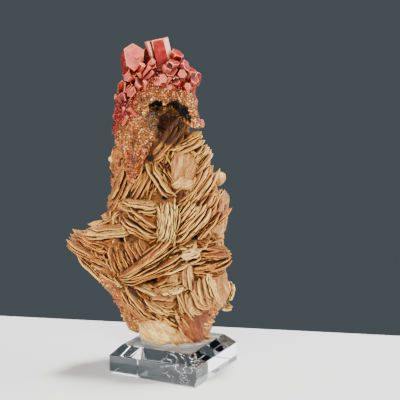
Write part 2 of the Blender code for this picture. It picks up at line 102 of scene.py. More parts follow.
# The block: its turn about Z in degrees, its side, height and bevel.
BLOCK_TURN = -26.0
BLOCK_SIDE = 31.75
BLOCK_HEIGHT = 9.525
BLOCK_BEVEL = 3.175

# Stacked bodies: how far each level reaches left, right, front and back. Their walls are lumpy by
# LUMP, in lumps of LUMP_SIZE. The crust slopes down to the back by CRUST_LEAN, and the body's wall
# is sunk behind the blades by CORE_SINK.
Level = namedtuple("Level", "z left right front back")
CORE_LEVELS = [
    Level(10.2, -9.5, 9.8, -7.0, 7.0),
    Level(12.5, -12.8, 11.5, -9.0, 8.5),
    Level(16.0, -16.5, 14.2, -10.0, 10.0),
    Level(21.0, -19.5, 16.6, -10.0, 11.0),
    Level(26.0, -22.8, 17.6, -10.5, 11.5),
    Level(32.0, -26.8, 17.4, -10.5, 11.5),
    Level(38.0, -29.6, 16.5, -10.0, 11.0),
    Level(43.0, -29.6, 16.0, -9.5, 10.5),
    Level(48.0, -24.5, 15.5, -9.0, 10.0),
    Level(54.0, -22.8, 14.5, -8.5, 9.5),
    Level(60.0, -21.4, 14.0, -7.5, 9.5),
    Level(66.0, -21.0, 11.5, -6.0, 9.0),
    Level(72.0, -20.8, 8.5, -4.5, 9.0),
    Level(78.0, -18.2, 6.0, -4.0, 9.0),
    Level(84.0, -16.5, 5.5, -6.0, 9.0),
    Level(90.0, -15.5, 5.0, -7.0, 8.0),
    Level(94.5, -12.0, 2.0, -5.0, 5.5),
]
BED_LEVELS = [
    Level(86.5, -16.4, 5.6, -8.8, 9.2),
    Level(90.0, -15.8, 5.8, -9.4, 9.0),
    Level(94.0, -14.0, 5.0, -9.2, 8.0),
    Level(97.5, -12.0, 3.2, -7.6, 6.4),
    Level(100.2, -10.0, 0.8, -4.6, 4.4),
    Level(101.4, -8.0, -2.0, -2.0, 2.0),
]
CURTAIN_LEVELS = [
    Level(62.0, -14.2, -12.6, -9.4, -5.0),
    Level(66.0, -14.4, -11.0, -9.8, -3.0),
    Level(70.0, -14.6, -9.4, -10.0, -1.0),
    Level(72.5, -15.2, -8.6, -10.0, 0.0),
    Level(74.5, -18.0, -7.2, -10.0, 1.0),
    Level(79.0, -18.6, -5.4, -9.8, 3.0),
    Level(84.0, -18.7, -5.2, -9.4, 4.5),
    Level(88.0, -18.0, -6.2, -9.2, 5.0),
]
RIM_LEVELS = [
    Level(80.4, 6.4, 9.4, -5.6, -0.6),
    Level(82.0, 4.8, 8.4, -7.0, 1.0),
    Level(86.0, 4.2, 6.9, -8.0, 3.0),
    Level(91.0, 1.8, 6.0, -8.8, 3.0),
]
SQUARENESS = 2.4
CORE_LUMP = 0.9
CORE_LUMP_SIZE = 5.5
CRUST_LUMP = 0.7
CRUST_LUMP_SIZE = 2.6
CRUST_LEAN = 0.16
CORE_SINK = 1.3

# Noise out of the body and out of the crust, as (height, size).
BODY_NOISE = ((0.9, 3.4), (0.5, 1.5), (0.3, 0.7))
CRUST_NOISE = ((0.5, 1.8), (0.3, 0.8), (0.15, 0.4))

# Cave under the crystals, as lumps: (centre, half sizes).
CAVE_LUMPS = [
    ((-5.2, -7.0, 86.9), (2.7, 9.5, 3.3)),
    ((-0.1, -7.0, 86.2), (2.8, 10.0, 3.5)),
    ((2.6, -7.0, 84.0), (2.9, 9.0, 3.7)),
    ((-1.4, -6.5, 81.6), (4.2, 10.5, 4.4)),
    ((-6.2, -10.5, 82.6), (4.8, 4.6, 5.6)),
    ((-5.2, -9.5, 73.0), (2.4, 6.0, 5.6)),
]

# Painted shade: the near-black colour of the cave's wall and of the holes between the blades.
CAVE_SHADE_COLOUR = (0.012, 0.01, 0.008)

# Dulled places, as (middle, half sizes): the wall at the left of the cave and its floor, which are
# painted darker as shade, and the column at the left of the curtain, which is only greyer.
RECESS = ((-3.4, -7.0, 83.0), (5.6, 16.0, 4.6))
CAVE_FLOOR = ((-1.2, -5.0, 80.2), (6.5, 12.0, 5.5))
LEFT_COLUMN = ((-17.8, -5.0, 67.5), (3.4, 9.0, 7.5))

# Barite fans. x and z are the middle as seen from the front, y is the front rim, turn is the way
# that the blades run, counterclockwise from +X, and tilt shows their faces instead of their rims.
# Blades stand step apart and spread by fan degrees each from the pivot. stain is iron colour and
# pale is chalky white, from 0 to 1.
Fan = namedtuple(
    "Fan", "name x z y turn tilt length depth count step fan pivot stain pale thick",
    defaults=(0.55,),
)
FRONT_FANS = [
    Fan("fin roof", -20.6, 47.4, -10.0, 5, 10, 16.0, 9, 5, 0.70, -1.6, 1, 0.50, 0.35),
    Fan("fin top", -23.6, 44.6, -9.0, -14, 28, 17.0, 6, 4, 0.80, 3, -1, 1.00, 0.05),
    Fan("fin face", -26.2, 41.0, -7.5, -27, 24, 18.5, 8, 7, 0.85, 0, 0, 0.95, 0.15),
    Fan("fin edge", -24.9, 35.2, -5.0, -46, 12, 18.5, 8, 6, 0.80, 0, 0, 0.45, 0.60),
    Fan("fin inner", -16.8, 38.4, -12.5, -72, 6, 13.0, 11, 7, 0.75, 1.3, -1, 0.95, 0.10),
    Fan("steps", -10.8, 41.6, -10.5, -58, 40, 9.0, 8, 8, 1.00, 0, 0, 0.85, 0.10),
    Fan("lower steps", -13.2, 40.2, -12.0, -62, 18, 10.5, 9, 6, 0.90, 0, 0, 0.90, 0.10),
    Fan("upper slant", -9.8, 50.5, -12.0, -32, 10, 13.5, 10, 6, 0.80, -2.4, 1, 0.35, 0.30),
    Fan("rows", -10.5, 56.0, -11.0, -5, 12, 12.0, 9, 5, 0.85, 0, 0, 0.20, 0.40),
    Fan("front leaf", -7.5, 37.5, -16.0, 29, 4, 21.5, 13, 10, 0.30, 2.4, -1, 0.60, 0.05, 0.5),
    Fan("under leaf", -0.5, 36.4, -14.5, 18, 10, 12.0, 9, 2, 0.70, 0, 0, 0.10, 0.70),
    Fan("pale blade", 5.9, 41.2, -14.0, 18, 25, 7.5, 4, 2, 0.60, 0, 0, 0.00, 1.00),
    Fan("right fan", 11.3, 38.5, -9.5, 3, 6, 15.5, 11, 9, 0.40, -5, 1, 0.90, 0.10),
    Fan("diagonal low", 5.0, 51.0, -12.5, 47, 8, 16.5, 11, 8, 0.80, 0.7, -1, 0.15, 0.50),
    Fan("diagonal right", 9.9, 52.4, -9.0, 48, 8, 17.0, 11, 9, 0.80, 0.7, -1, 0.70, 0.10),
    Fan("diagonal high", 8.0, 61.0, -8.5, 56, 20, 19.0, 9, 6, 0.85, 0, 0, 0.35, 0.35),
    Fan("pale column", -1.8, 50.8, -14.0, 81, 15, 13.5, 10, 7, 0.80, -1.3, 0, 0.00, 1.00),
    Fan("crossed pair", -4.0, 64.5, -10.5, -57, 10, 13.5, 8, 4, 0.90, 0, 0, 0.10, 0.50),
    Fan("steep left", -11.2, 62.0, -9.0, 61, 14, 16.5, 9, 8, 0.85, 0.7, -1, 0.45, 0.15),
    Fan("column ridges", -17.2, 60.0, -7.6, 66, 14, 16.0, 7, 4, 1.20, 0, 0, 0.60, 0.15),
    Fan("cave floor", -1.4, 76.0, -5.2, 52, 30, 17.0, 7, 5, 1.00, 0, 0, 0.05, 0.15, 0.7),
    Fan("cave sill", 4.4, 75.6, -7.0, 24, 12, 12.5, 8, 5, 0.80, 1.3, 1, 0.15, 0.35),
    Fan("shoulder", 8.0, 70.4, -6.0, 48, 12, 10.5, 8, 6, 0.80, 0, 0, 0.20, 0.45),
    Fan("right edge", 13.8, 51.0, 1.0, 84, -30, 17.0, 9, 6, 0.75, 0, 0, 0.20, 0.40),
    Fan("bowl rim left", -8.0, 30.4, -15.0, -22, 5, 9.5, 7, 3, 0.60, 2, -1, 0.20, 0.75),
    Fan("bowl rim right", -0.2, 29.6, -15.0, 15, 5, 8.5, 7, 3, 0.60, 2, 1, 0.20, 0.75),
    Fan("under rim", -3.6, 26.6, -13.6, -8, 62, 10.0, 4, 2, 1.60, 2, 0, 0.55, 0.20),
    Fan("bowl plate", -0.8, 33.4, -10.8, 85, 75, 6.0, 4.5, 2, 0.70, 0, 0, 0.20, 0.50),
    Fan("bowl wing", 3.2, 33.0, -10.8, 100, 80, 5.5, 4.0, 2, 0.70, 0, 0, 0.20, 0.50),
    Fan("low slant", -10.8, 25.2, -12.5, -48, 8, 14.5, 9, 7, 0.75, 1.1, -1, 0.50, 0.25),
    Fan("low front", -4.8, 23.6, -13.6, -32, 14, 11.0, 7, 4, 0.75, 0, 0, 0.30, 0.40),
    Fan("curtain edge", 4.9, 33.2, -13.6, -84, 24, 9.0, 6, 3, 0.70, 3, -1, 0.15, 0.65),
    Fan("low curtain", 3.9, 25.0, -13.0, -73, 40, 11.0, 6, 3, 0.90, 2, -1, 0.25, 0.50),
    Fan("right petal", 9.4, 27.8, -11.0, -54, 62, 12.5, 6, 4, 1.10, 3, 1, 0.40, 0.35),
    Fan("petal folds", 11.2, 28.6, -12.2, -74, 30, 11.0, 5, 5, 1.20, 2, 1, 0.30, 0.50),
    Fan("right knob", 18.2, 25.4, -1.0, 74, 8, 7.0, 5, 4, 0.60, 0, 0, 0.15, 0.60),
    Fan("glass tip", 17.4, 20.0, -1.0, -2, 4, 4.5, 4, 2, 0.50, 0, 0, 0.00, 1.00),
    Fan("notch", 9.4, 18.0, -10.4, -31, 10, 8.5, 7, 4, 0.75, 0, 0, 0.30, 0.50),
]

# A blade tilted less than PLATE_TILT shows at most FACE_WIDTH of its face. One tilted more is flat.
PLATE_TILT = 45
FACE_WIDTH = 1.8

# Blades laid for each one that a fan's table counts, and the height that parts the two pieces.
# Each fan has two layers of blades, as (sunk by, spread by, share of the count).
CROWDING = 1.4
MIDDLE_HEIGHT = 44.0
FAN_LAYERS = ((2.4, 1.1, 1.0), (0.0, 1.0, 0.8))

# Dark holes between the blades: x, z and radius. HOLE_DEPTH is their reach in y, either way.
# The body inside the holes is painted near black, as shade.
HOLES = [(-16.0, 45.6, 1.8), (-7.2, 32.2, 2.0), (-2.6, 58.4, 0.9), (-7.4, 71.0, 1.4),
         (7.0, 45.6, 1.2), (-16.6, 69.8, 1.4)]
HOLE_MIDDLE = -10.0
HOLE_DEPTH = 6.0

# Shapes that the trees pick from: fine blades, coarse ones and flat plates.
FINE, COARSE, PLATES = range(0, 9), range(9, 16), range(16, 22)

# Rows across a blade, as (place, thickness), from its outer rim inwards.
FINE_ROWS = [(-1, 0), (-0.95, 0.8), (-0.86, 1), (-0.79, 0.5), (-0.7, 1), (-0.61, 0.5), (-0.48, 1),
             (-0.36, 0.6), (-0.1, 1), (1, 0)]
COARSE_ROWS = [(-1, 0), (-0.86, 1), (-0.66, 0.55), (-0.4, 1), (1, 0)]
PLATE_ROWS = [(-1, 0), (-0.94, 0.85), (-0.7, 1), (-0.5, 0.7), (-0.3, 1), (-0.05, 0.75), (0.3, 1),
              (0.5, 0.75), (0.8, 1), (1, 0)]

# Smooth lumps at the foot and the edges and beside the cave: middle, half sizes, the run of their
# lines as for the fans, stain and pale.
Lump = namedtuple("Lump", "centre half_sizes lines stain pale")
LUMPS = [
    Lump((-4.6, -6.2, 15.0), (6.8, 6.6, 5.0), -38, 0.1, 0.9),
    Lump((6.6, -5.6, 16.4), (5.8, 6.4, 5.8), -76, 1.0, 0.0),
    Lump((-19.9, -5.2, 70.9), (1.0, 1.2, 1.1), 0, 0.0, 1.0),
    Lump((14.6, 0.6, 63.6), (2.5, 3.0, 2.4), 90, 0.2, 0.5),
    Lump((1.8, -5.6, 68.0), (2.6, 3.0, 5.0), 84, 0.3, 0.35),
    Lump((4.9, -5.2, 67.6), (2.5, 3.0, 5.4), 66, 0.4, 0.25),
    Lump((3.0, -5.8, 63.0), (3.7, 3.0, 2.5), 40, 0.2, 0.55),
    Lump((1.6, -6.2, 12.6), (6.0, 5.0, 2.6), -60, 0.4, 0.4),
    Lump((14.0, -2.4, 28.4), (3.9, 4.8, 8.4), -80, 0.3, 0.4),
]

# Round the sides and the back the fans are set by angle from the front and by height.
BACK_ANGLES = (66, 96, 126, 156, 186, 216, 246)
BACK_HEIGHTS = (17, 27, 37, 47, 57, 67, 77)
BACK_STAND = 0.5
BACK_SEED = 11
INFILL_ANGLES = (58, 78, 98, 118, 138, 158, 178, 198, 218, 238, 258, 278, 298)
INFILL_HEIGHTS = (15, 23, 30, 37, 44, 51, 58, 65, 72, 79)
INFILL_SEED = 23
SIDE_TURNS = (-62, -35, -12, 15, 40, 66, 85)
SIDE_TILTS = (4, 10, 18, 32)

# The front's own fans cover the fin, left of FIN_ROOT, and the front of the foot, up to FOOT_TOP.
FIN_ROOT = -21.5
FOOT_TOP = 22

# Boxes of the body that are granular: (lowest corner, highest corner).
GRANULAR_ZONES = [
    ((-24, -20, 10), (-8, 4, 31)),
    ((-31, -20, 28), (-21.5, 4, 36)),
    ((9, -20, 14), (20, 6, 25)),
    ((-24, -20, 53), (-14.5, 6, 80)),
    ((-12, -20, 76), (8, 6, 92)),
]

# Short blades between the front fans take the run of the nearest fan. Edges of blades that are
# sharper than SHARP_ANGLE degrees aren't smoothed.
FILLERS = 430
FILLER_SIDES = (-27, 18)
FILLER_HEIGHTS = (12, 80)
SHARP_ANGLE = 32

# Where the front is the cave's or the crystals': between these sides, and above this height.
UNDER_CRUST = [(-40, 40, 80), (-40, -5, 64), (-6, 6, 76)]

# Box in which a blade of the back would come through into the cave.
BEHIND_CAVE = ((-9, -40, 74), (7, 6, 120))

# The cave is painted dark, as shade, above DARK_LOW, which falls by DARK_FALL per mm right of
# DARK_BEND, and behind its mouth, which lies MOUTH_CURVE farther back per mm to either side.
DARK_LOW = 87.2
DARK_BEND = -0.9
DARK_FALL = 0.85
MOUTH = -8.2
MOUTH_CURVE = 0.12

# Large crystals. x, y and z are the middle of the end face, facing is the way that it points,
# degrees round from the front towards the right, and climb is degrees above level. squeeze is the
# width of the end face for its height, taper narrows its lower half and frost is the share of its
# sides that are frosted. shade runs from deep red, 0, to pale tan and pink, 1. bright is the
# number of one side that is painted pale pink-white, as a highlight.
Crystal = namedtuple(
    "Crystal", "x y z facing climb radius length twist squeeze shade taper frost bright",
    defaults=(0.0, 0.2, None),
)
LARGE_CRYSTALS = [
    Crystal(-12.0, -8.4, 103.0, 12, 16, 4.1, 10.0, 0, 0.92, 0.5, 0.35, 0),
    # Painted highlight: a small pale crystal set on the end face of the first crystal.
    Crystal(-11.0, -9.4, 103.2, 12, 16, 0.7, 1.2, 10, 1.0, 1.0),
    Crystal(-4.8, -4.2, 108.6, -80, 78, 3.9, 13.5, 0, 1.0, 0.3, 0, 0, 5),
    Crystal(-7.9, -6.4, 107.7, -75, 70, 1.0, 7.0, 0, 1.0, 1.0, 0, 1, 4),
    Crystal(1.6, -4.5, 104.4, 55, 52, 2.4, 8.0, 0, 1.0, 0.32),
    Crystal(1.3, -6.3, 100.8, 35, 68, 2.8, 7.0, 10, 1.0, 0.3),
    Crystal(3.1, -9.8, 97.8, 16, 8, 1.45, 5.0, 30, 0.95, 0.8, 0, 0),
    Crystal(8.0, -4.0, 96.2, 62, -8, 2.4, 8.0, 14, 1.0, 0.05, 0, 0),
    Crystal(5.8, -5.4, 99.2, 50, 62, 2.0, 6.0, 20, 1.0, 0.15),
    Crystal(5.0, -8.2, 93.9, 34, 5, 1.35, 5.0, 25, 0.9, 0.7),
    Crystal(6.6, -5.5, 92.6, 62, -10, 1.7, 5.0, 5, 1.0, 0.1),
    Crystal(-4.6, -10.9, 95.6, -34, 14, 1.5, 4.0, 30, 1.0, 0.85),
    Crystal(-2.7, -10.7, 96.6, 30, 20, 1.5, 4.0, 28, 1.0, 0.8),
    Crystal(-16.2, -7.2, 93.6, -52, 14, 2.5, 6.0, 10, 1.0, 0.1),
    Crystal(-13.2, -9.2, 92.4, -22, 0, 1.9, 5.0, 18, 1.0, 0.25),
    Crystal(-14.4, -8.2, 97.0, -44, 20, 1.5, 4.6, 28, 1.0, 0.65),
    Crystal(-17.6, -6.0, 88.4, -62, 0, 1.7, 5.0, 14, 1.0, 0.1),
    Crystal(-16.0, -8.2, 90.4, -38, -16, 1.6, 4.6, 6, 1.0, 0.2),
    Crystal(-18.6, -4.6, 90.6, -78, 12, 0.9, 3.5, 24, 1.0, 1.0),
    Crystal(-15.2, -10.2, 87.4, 14, 48, 0.62, 4.4, 0, 0.8, 0.85),
    Crystal(-13.6, -10.8, 87.2, -62, 46, 0.7, 4.4, 0, 0.8, 0.8),
    Crystal(-14.0, -11.0, 84.9, 55, 55, 0.6, 3.6, 0, 0.8, 0.9),
    Crystal(-6.4, -8.8, 100.6, -10, 30, 1.3, 5.0, 8, 1.0, 0.3),
    Crystal(-9.2, -9.4, 100.8, 40, 50, 1.1, 6.5, 12, 0.9, 0.6, 0, 0.4),
    Crystal(-5.8, -9.2, 102.0, 58, 44, 1.0, 7.0, 0, 0.8, 0.7, 0, 0.5),
    Crystal(-7.0, -9.8, 100.2, 56, 46, 0.8, 6.0, 20, 0.8, 0.8, 0, 0.5),
    Crystal(-6.0, -10.2, 98.6, 60, 40, 0.7, 5.0, 10, 0.8, 0.85, 0, 0.5),
    Crystal(-8.4, -10.4, 95.6, 18, 52, 0.9, 4.6, 22, 0.8, 0.95),
    Crystal(-10.6, -9.2, 98.4, -34, 50, 1.0, 5.6, 3, 0.8, 0.7),
    Crystal(-4.1, -6.6, 100.0, 0, 62, 2.3, 6.5, 20, 1.0, 0.05),
    Crystal(-7.8, -6.2, 103.4, 24, 20, 2.9, 8.0, 10, 0.9, 0.0),
    Crystal(0.4, -7.6, 101.6, 30, 60, 1.9, 6.0, 24, 1.0, 0.05),
    Crystal(-5.4, -8.0, 98.4, -8, 34, 2.0, 5.0, 14, 1.0, 0.2),
    Crystal(-11.6, -7.6, 99.0, -20, 30, 2.2, 6.0, 6, 1.0, 0.12),
    Crystal(4.4, -7.4, 100.4, 60, 20, 2.0, 6.0, 4, 0.9, 0.2),
    Crystal(-14.6, -6.4, 99.0, -60, 30, 2.2, 6.0, 20, 1.0, 0.1),
    Crystal(-1.6, -7.6, 97.4, 20, 30, 1.9, 5.0, 12, 1.0, 0.15),
    Crystal(1.0, -9.2, 95.8, -20, 24, 1.5, 4.0, 24, 0.9, 0.3),
    Crystal(6.8, -6.4, 96.4, 40, 28, 1.9, 5.0, 0, 0.9, 0.1),
    Crystal(-0.6, -8.8, 99.4, 12, 20, 2.6, 6.5, 24, 1.0, 0.12),
    Crystal(-0.9, -10.2, 93.8, -10, 20, 0.8, 3.0, 12, 1.0, 0.8),
    Crystal(-12.9, -9.9, 93.4, -30, 30, 0.8, 3.0, 0, 1.0, 0.9),
    Crystal(9.5, -3.8, 82.0, 66, 8, 1.3, 3.6, 20, 1.0, 0.85),
    Crystal(8.0, -5.4, 83.2, 40, 30, 0.9, 2.6, 10, 1.0, 0.8),
]

# More crystals stand round the back of the crown, over CROWN_BACK_ARC degrees, and middling ones
# all round it, from a height that depends on the heading: (up to this heading, height).
CROWN_BACK_CRYSTALS = 20
CROWN_BACK_START = 70
CROWN_BACK_ARC = 220
CROWN_BACK_HEIGHTS = (88.5, 92.5, 96.5, 99.5)
CROWN_BACK_RADII = (1.1, 2.7)
CROWN_BACK_SEED = 4
MIDDLE_CRYSTALS = 180
MIDDLE_LOWEST = [(50, 93.4), (270, 88.5), (330, 84.5), (360, 93.4)]
MIDDLE_TOP = 100.6
MIDDLE_SEED = 17

GOLDEN = math.pi * (3 - math.sqrt(5))

# Rays look for crevices round each point. They start above the surface by RAY_LIFT of their reach,
# and a hit counts less the farther off it is, by RAY_FADE at most. The reaches are in metres.
CREVICE_RAYS = 16
RAY_LIFT = 0.03
RAY_FADE = 0.6
BLADE_REACH = 0.0028
CRYSTAL_REACH = 0.0022
DRUSE_REACH = 0.0009

# Seeds of what grows on the body and on the crust.
GRAIN_SEED = 5
DRUSE_SEED = 3

# Where ripples show through the block's front, as (middle, half sizes), and how far the glue
# spreads round the foot, from the block up.
RIPPLES = ((2.5, -18.0, 6.0), (6.5, 6.0, 6.0))
GLUE_SPREADS = (1.6, 1.2, 0.2)

# The floor's far edge runs at this angle, and its top is this far under the block.
FLOOR_TURN = -10.2
FLOOR_DROP = -0.00005

# Lights, as (name, place, side, watts), in metres. All of them face LIT_POINT.
LIGHTS = [
    ("key", (0.05, 0.03, 0.6), 0.1, 7.5),
    ("window", (0.75, 0.05, 0.28), 0.6, 10.0),
    ("front", (0.1, -0.75, 0.46), 0.14, 4.5),
    ("front fill", (-0.2, -0.8, 0.34), 0.7, 9.0),
    ("side fill", (-0.62, -0.5, 0.2), 0.5, 2.8),
]
LIT_POINT = (0, 0, 0.055)

# The camera looks down by CAMERA_DIP degrees.
CAMERA_PLACE = (0.0086, -0.3236, 0.1071)
CAMERA_DIP = 8.87
LENS_LENGTH = 90.0


# Settings

def length(name, description, default):
    """A setting in metres."""
    return FloatProperty(
        name=name, description=description, default=default, subtype="DISTANCE", unit="LENGTH")


def colour(name, description, *default):
    """A setting with red, green and blue."""
    return FloatVectorProperty(
        name=name, description=description, default=default, size=3, subtype="COLOR")


class MatrixSettings(bpy.types.PropertyGroup):
    """Sizes and colours of the barite."""

    body_voxel: length("Body voxel", "Fineness of the granular body", 0.00045)
    wave_size: length("Wave size", "Length of the waves in the blades", 0.005)
    wave_height: length("Wave height", "Height of the waves in the blades", 0.0003)
    nick_size: length("Nick size", "Length of the nicks in the rims", 0.0009)
    nick_height: length("Nick height", "Depth of the nicks in the rims", 0.00018)
    grain_spacing: length("Grain spacing", "Least distance between the body's grains", 0.00055)
    face_colour: colour("Face", "Tan of the blades' faces", 0.46, 0.148, 0.026)
    # The rims' cream is partly the blades' own pale edges and partly a painted highlight.
    rim_colour: colour("Rim", "Cream of the blades' rims", 0.98, 0.5, 0.07)
    pale_colour: colour("Pale", "Chalky white of the palest blades", 0.99, 0.72, 0.22)
    stain_colour: colour("Stain", "Iron stain on the blades", 0.25, 0.062, 0.01)
    rust_colour: colour("Rust", "Iron stain on the blades' rims", 0.74, 0.24, 0.03)
    # Painted shade: the crevice colour darkens the blades deep in their crevices; it also colours
    # random dark pits and grains.
    crevice_colour: colour("Crevice", "Dirt between the blades", 0.045, 0.014, 0.005)


class CrystalSettings(bpy.types.PropertyGroup):
    """Sizes and colours of the vanadinite."""

    crust_voxel: length("Crust voxel", "Fineness of the crust", 0.00035)
    edge_bevel: length("Edge bevel", "Width of the crystals' worn edges", 0.00026)
    druse_spacing: length("Druse spacing", "Least distance between small crystals", 0.00042)
    druse_radius: length("Druse radius", "Radius of the largest small crystals", 0.00042)
    red_colour: colour("Red", "Colour of the crystals' sides", 0.25, 0.009, 0.007)
    pale_colour: colour("Pale", "Colour of the palest crystals", 0.47, 0.078, 0.036)
    cap_colour: colour("End face", "Frosted pink of the end faces", 0.45, 0.068, 0.045)
    # The edges' pale colour is partly wear and partly painted edge highlight.
    edge_colour: colour("Edge", "Pale worn edges of the crystals", 0.92, 0.34, 0.16)
    tan_colour: colour("Tan", "Colour of the crust low down", 0.64, 0.25, 0.046)
    orange_colour: colour("Orange", "Darker grains of the crust", 0.36, 0.09, 0.014)
    cream_colour: colour("Cream", "Pale grains of the crust", 0.98, 0.63, 0.22)


class BlockSettings(bpy.types.PropertyGroup):
    """Sizes of the clear block and its glue."""

    edge_bevel: length("Edge bevel", "Width of the block's polished edges", 0.00022)
    glue_height: length("Glue height", "Height of the glue above the block", 0.0021)


class StageSettings(bpy.types.PropertyGroup):
    """Sizes and colours of the floor and the surroundings."""

    floor_side: length("Floor side", "Side of the square floor", 0.6)
    floor_back: length("Floor behind", "Distance from the middle to the floor's far edge", 0.0505)
    floor_colour: colour("Floor", "Colour of the floor", 0.78, 0.78, 0.77)
    room_colour: colour("Surroundings", "Colour round the floor", 0.066, 0.084, 0.092)


# Node trees

class Value:
    """An output of a node, to reckon with."""

    def __init__(self, nodes, socket):
        self.nodes, self.socket = nodes, socket

    def __add__(self, other):
        return self.nodes.maths("ADD", self, other)

    def __sub__(self, other):
        return self.nodes.maths("SUBTRACT", self, other)

    def __mul__(self, other):
        return self.nodes.maths("MULTIPLY", self, other)

    def __abs__(self):
        return self.nodes.maths("ABSOLUTE", self)

    def ramp(self, low, high):
        """Brought from low..high to 0..1, smoothly."""
        return self.nodes.add("ShaderNodeMapRange", {
            "Value": self, "From Min": low, "From Max": high,
        }, interpolation_type="SMOOTHSTEP")["Result"]


class Outputs:
    """A node's outputs, as Values by name or number."""

    def __init__(self, nodes, node):
        self.nodes, self.node = nodes, node

    def __getitem__(self, name):
        return Value(self.nodes, self.node.outputs[name])


class Nodes:
    """A node tree. What goes into its nodes is a number, a tuple, a Value or a list of Values."""

    def __init__(self, tree):
        self.tree = tree

    def feed(self, socket, given):
        for value in given if isinstance(given, list) else [given]:
            if isinstance(value, Value):
                self.tree.links.new(value.socket, socket)
            else:
                socket.default_value = value

    def add(self, kind, inputs=None, **settings):
        """The outputs of a new node with these settings, and inputs by name or number."""
        node = self.tree.nodes.new(kind)
        for name, value in settings.items():
            setattr(node, name, value)
        for name, value in (inputs or {}).items():
            self.feed(node.inputs[name], value)
        return Outputs(self, node)

    def maths(self, operation, *values, clamp=False):
        return self.add(
            "ShaderNodeMath", dict(enumerate(values)), operation=operation, use_clamp=clamp
        )["Value"]

    def vector(self, operation, *values, output="Vector"):
        return self.add(
            "ShaderNodeVectorMath", dict(enumerate(values)), operation=operation)[output]

    def stretched(self, vector, scale):
        return self.add(
            "ShaderNodeVectorMath", {0: vector, "Scale": scale}, operation="SCALE")["Vector"]

    def named(self, name, data_type):
        """The value of a named attribute, in a Geometry Nodes tree."""
        return self.add(
            "GeometryNodeInputNamedAttribute", {"Name": name}, data_type=data_type)["Attribute"]

    def random(self, data_type, number, seed, low, high):
        """A random value from low to high; number keeps it apart from the tree's other ones."""
        first = {"FLOAT_VECTOR": 0, "FLOAT": 1, "INT": 2}[data_type]
        return self.add("FunctionNodeRandomValue", {
            2 * first: low, 2 * first + 1: high, "Seed": seed + number * 101,
        }, data_type=data_type)[first]

    def mix(self, share, first, second, blend="MIX"):
        """Colour between first and second by share."""
        return self.add("ShaderNodeMix", {
            0: share, 6: colour_of(first), 7: colour_of(second),
        }, data_type="RGBA", blend_type=blend)[2]

    def tinted(self, face, tint):
        return self.mix(1.0, face, tint, blend="MULTIPLY")

    def place(self):
        return self.add("ShaderNodeTexCoord")["Object"]

    def on_mesh(self, name, output="Fac"):
        """The named value that the mesh carries."""
        return self.add("ShaderNodeAttribute", attribute_name=name)[output]

    def grain(self, blotch_scale, grain_scale):
        """The outputs of the shared mineral grain, at these scales per metre."""
        return self.add(
            "ShaderNodeGroup", {"Blotch scale": blotch_scale, "Grain scale": grain_scale},
            node_tree=bpy.data.node_groups["Mineral grain"])


def colour_of(value):
    """A four-part colour from a setting, or the Value itself."""
    return value if isinstance(value, Value) else (*value[:3], 1.0)


def new_group(name, kind, inputs, outputs):
    """(nodes, inputs) of a new node group, from the kinds of its sockets by name."""
    tree = bpy.data.node_groups.new(name, kind)
    for in_out, sockets in (("INPUT", inputs), ("OUTPUT", outputs)):
        for label, socket in sockets.items():
            tree.interface.new_socket(label, in_out=in_out, socket_type="NodeSocket" + socket)
    nodes = Nodes(tree)
    return nodes, nodes.add("NodeGroupInput")


def grain_group():
    """Mineral grain: a mask of blotches and a height of fine grains, in the piece's own space."""
    nodes, given = new_group(
        "Mineral grain", "ShaderNodeTree", {"Blotch scale": "Float", "Grain scale": "Float"},
        {"Blotch": "Float", "Grain": "Float", "Height": "Float"})
    place, fine = nodes.place(), given["Grain scale"]
    blotch = nodes.add("ShaderNodeTexNoise", {
        "Vector": place, "Scale": given["Blotch scale"], "Detail": 5.0, "Roughness": 0.62,
    })["Fac"]
    grain = nodes.add("ShaderNodeTexNoise", {
        "Vector": place, "Scale": fine, "Detail": 3.0, "Roughness": 0.7,
    })["Fac"]
    cells = nodes.add("ShaderNodeTexVoronoi", {"Vector": place, "Scale": fine})["Distance"]
    nodes.add("NodeGroupOutput", {"Blotch": blotch, "Grain": grain, "Height": cells * -0.7 + grain})


def crevice_group():
    """Stores how far each point of a mesh lies in a crevice of another one, from 0 to 1."""
    nodes, given = new_group(
        "Find crevices", "GeometryNodeTree",
        {"Mesh": "Geometry", "Around": "Geometry", "Reach": "Float"}, {"Mesh": "Geometry"})
    normal = nodes.add("GeometryNodeInputNormal")[0]
    reach = given["Reach"]
    lifted = nodes.stretched(normal, reach * RAY_LIFT)
    start = nodes.vector("ADD", nodes.add("GeometryNodeInputPosition")[0], lifted)
    slope = nodes.maths("DIVIDE", -RAY_FADE, reach)
    closed = whole = 0.0
    for number in range(CREVICE_RAYS):
        height = 1 - 2 * (number + 0.5) / CREVICE_RAYS
        level = math.sqrt(1 - height * height)
        aim = (level * math.cos(GOLDEN * number), level * math.sin(GOLDEN * number), height)
        weight = nodes.maths(
            "MAXIMUM", nodes.vector("DOT_PRODUCT", normal, aim, output="Value"), 0.0)
        ray = nodes.add("GeometryNodeRaycast", {
            "Target Geometry": given["Around"], "Source Position": start,
            "Ray Direction": aim, "Ray Length": reach,
        })
        closed = ray["Is Hit"] * (ray["Hit Distance"] * slope + 1.0) * weight + closed
        whole = weight + whole
    stored = nodes.add("GeometryNodeStoreNamedAttribute", {
        "Geometry": given["Mesh"], "Name": "crevice",
        "Value": nodes.maths("DIVIDE", closed, whole),
    }, data_type="FLOAT", domain="POINT")
    nodes.add("NodeGroupOutput", {"Mesh": stored[0]})


def growth_tree(name, inputs):
    """(nodes, inputs) of a new tree for a modifier, which sets a material too."""
    nodes, given = new_group(
        name, "GeometryNodeTree", {**inputs, "Material": "Material"}, {"Geometry": "Geometry"})
    nodes.tree.is_modifier = True
    return nodes, given


def geometry_of(nodes, thing):
    return nodes.add("GeometryNodeObjectInfo", {"Object": thing})["Geometry"]


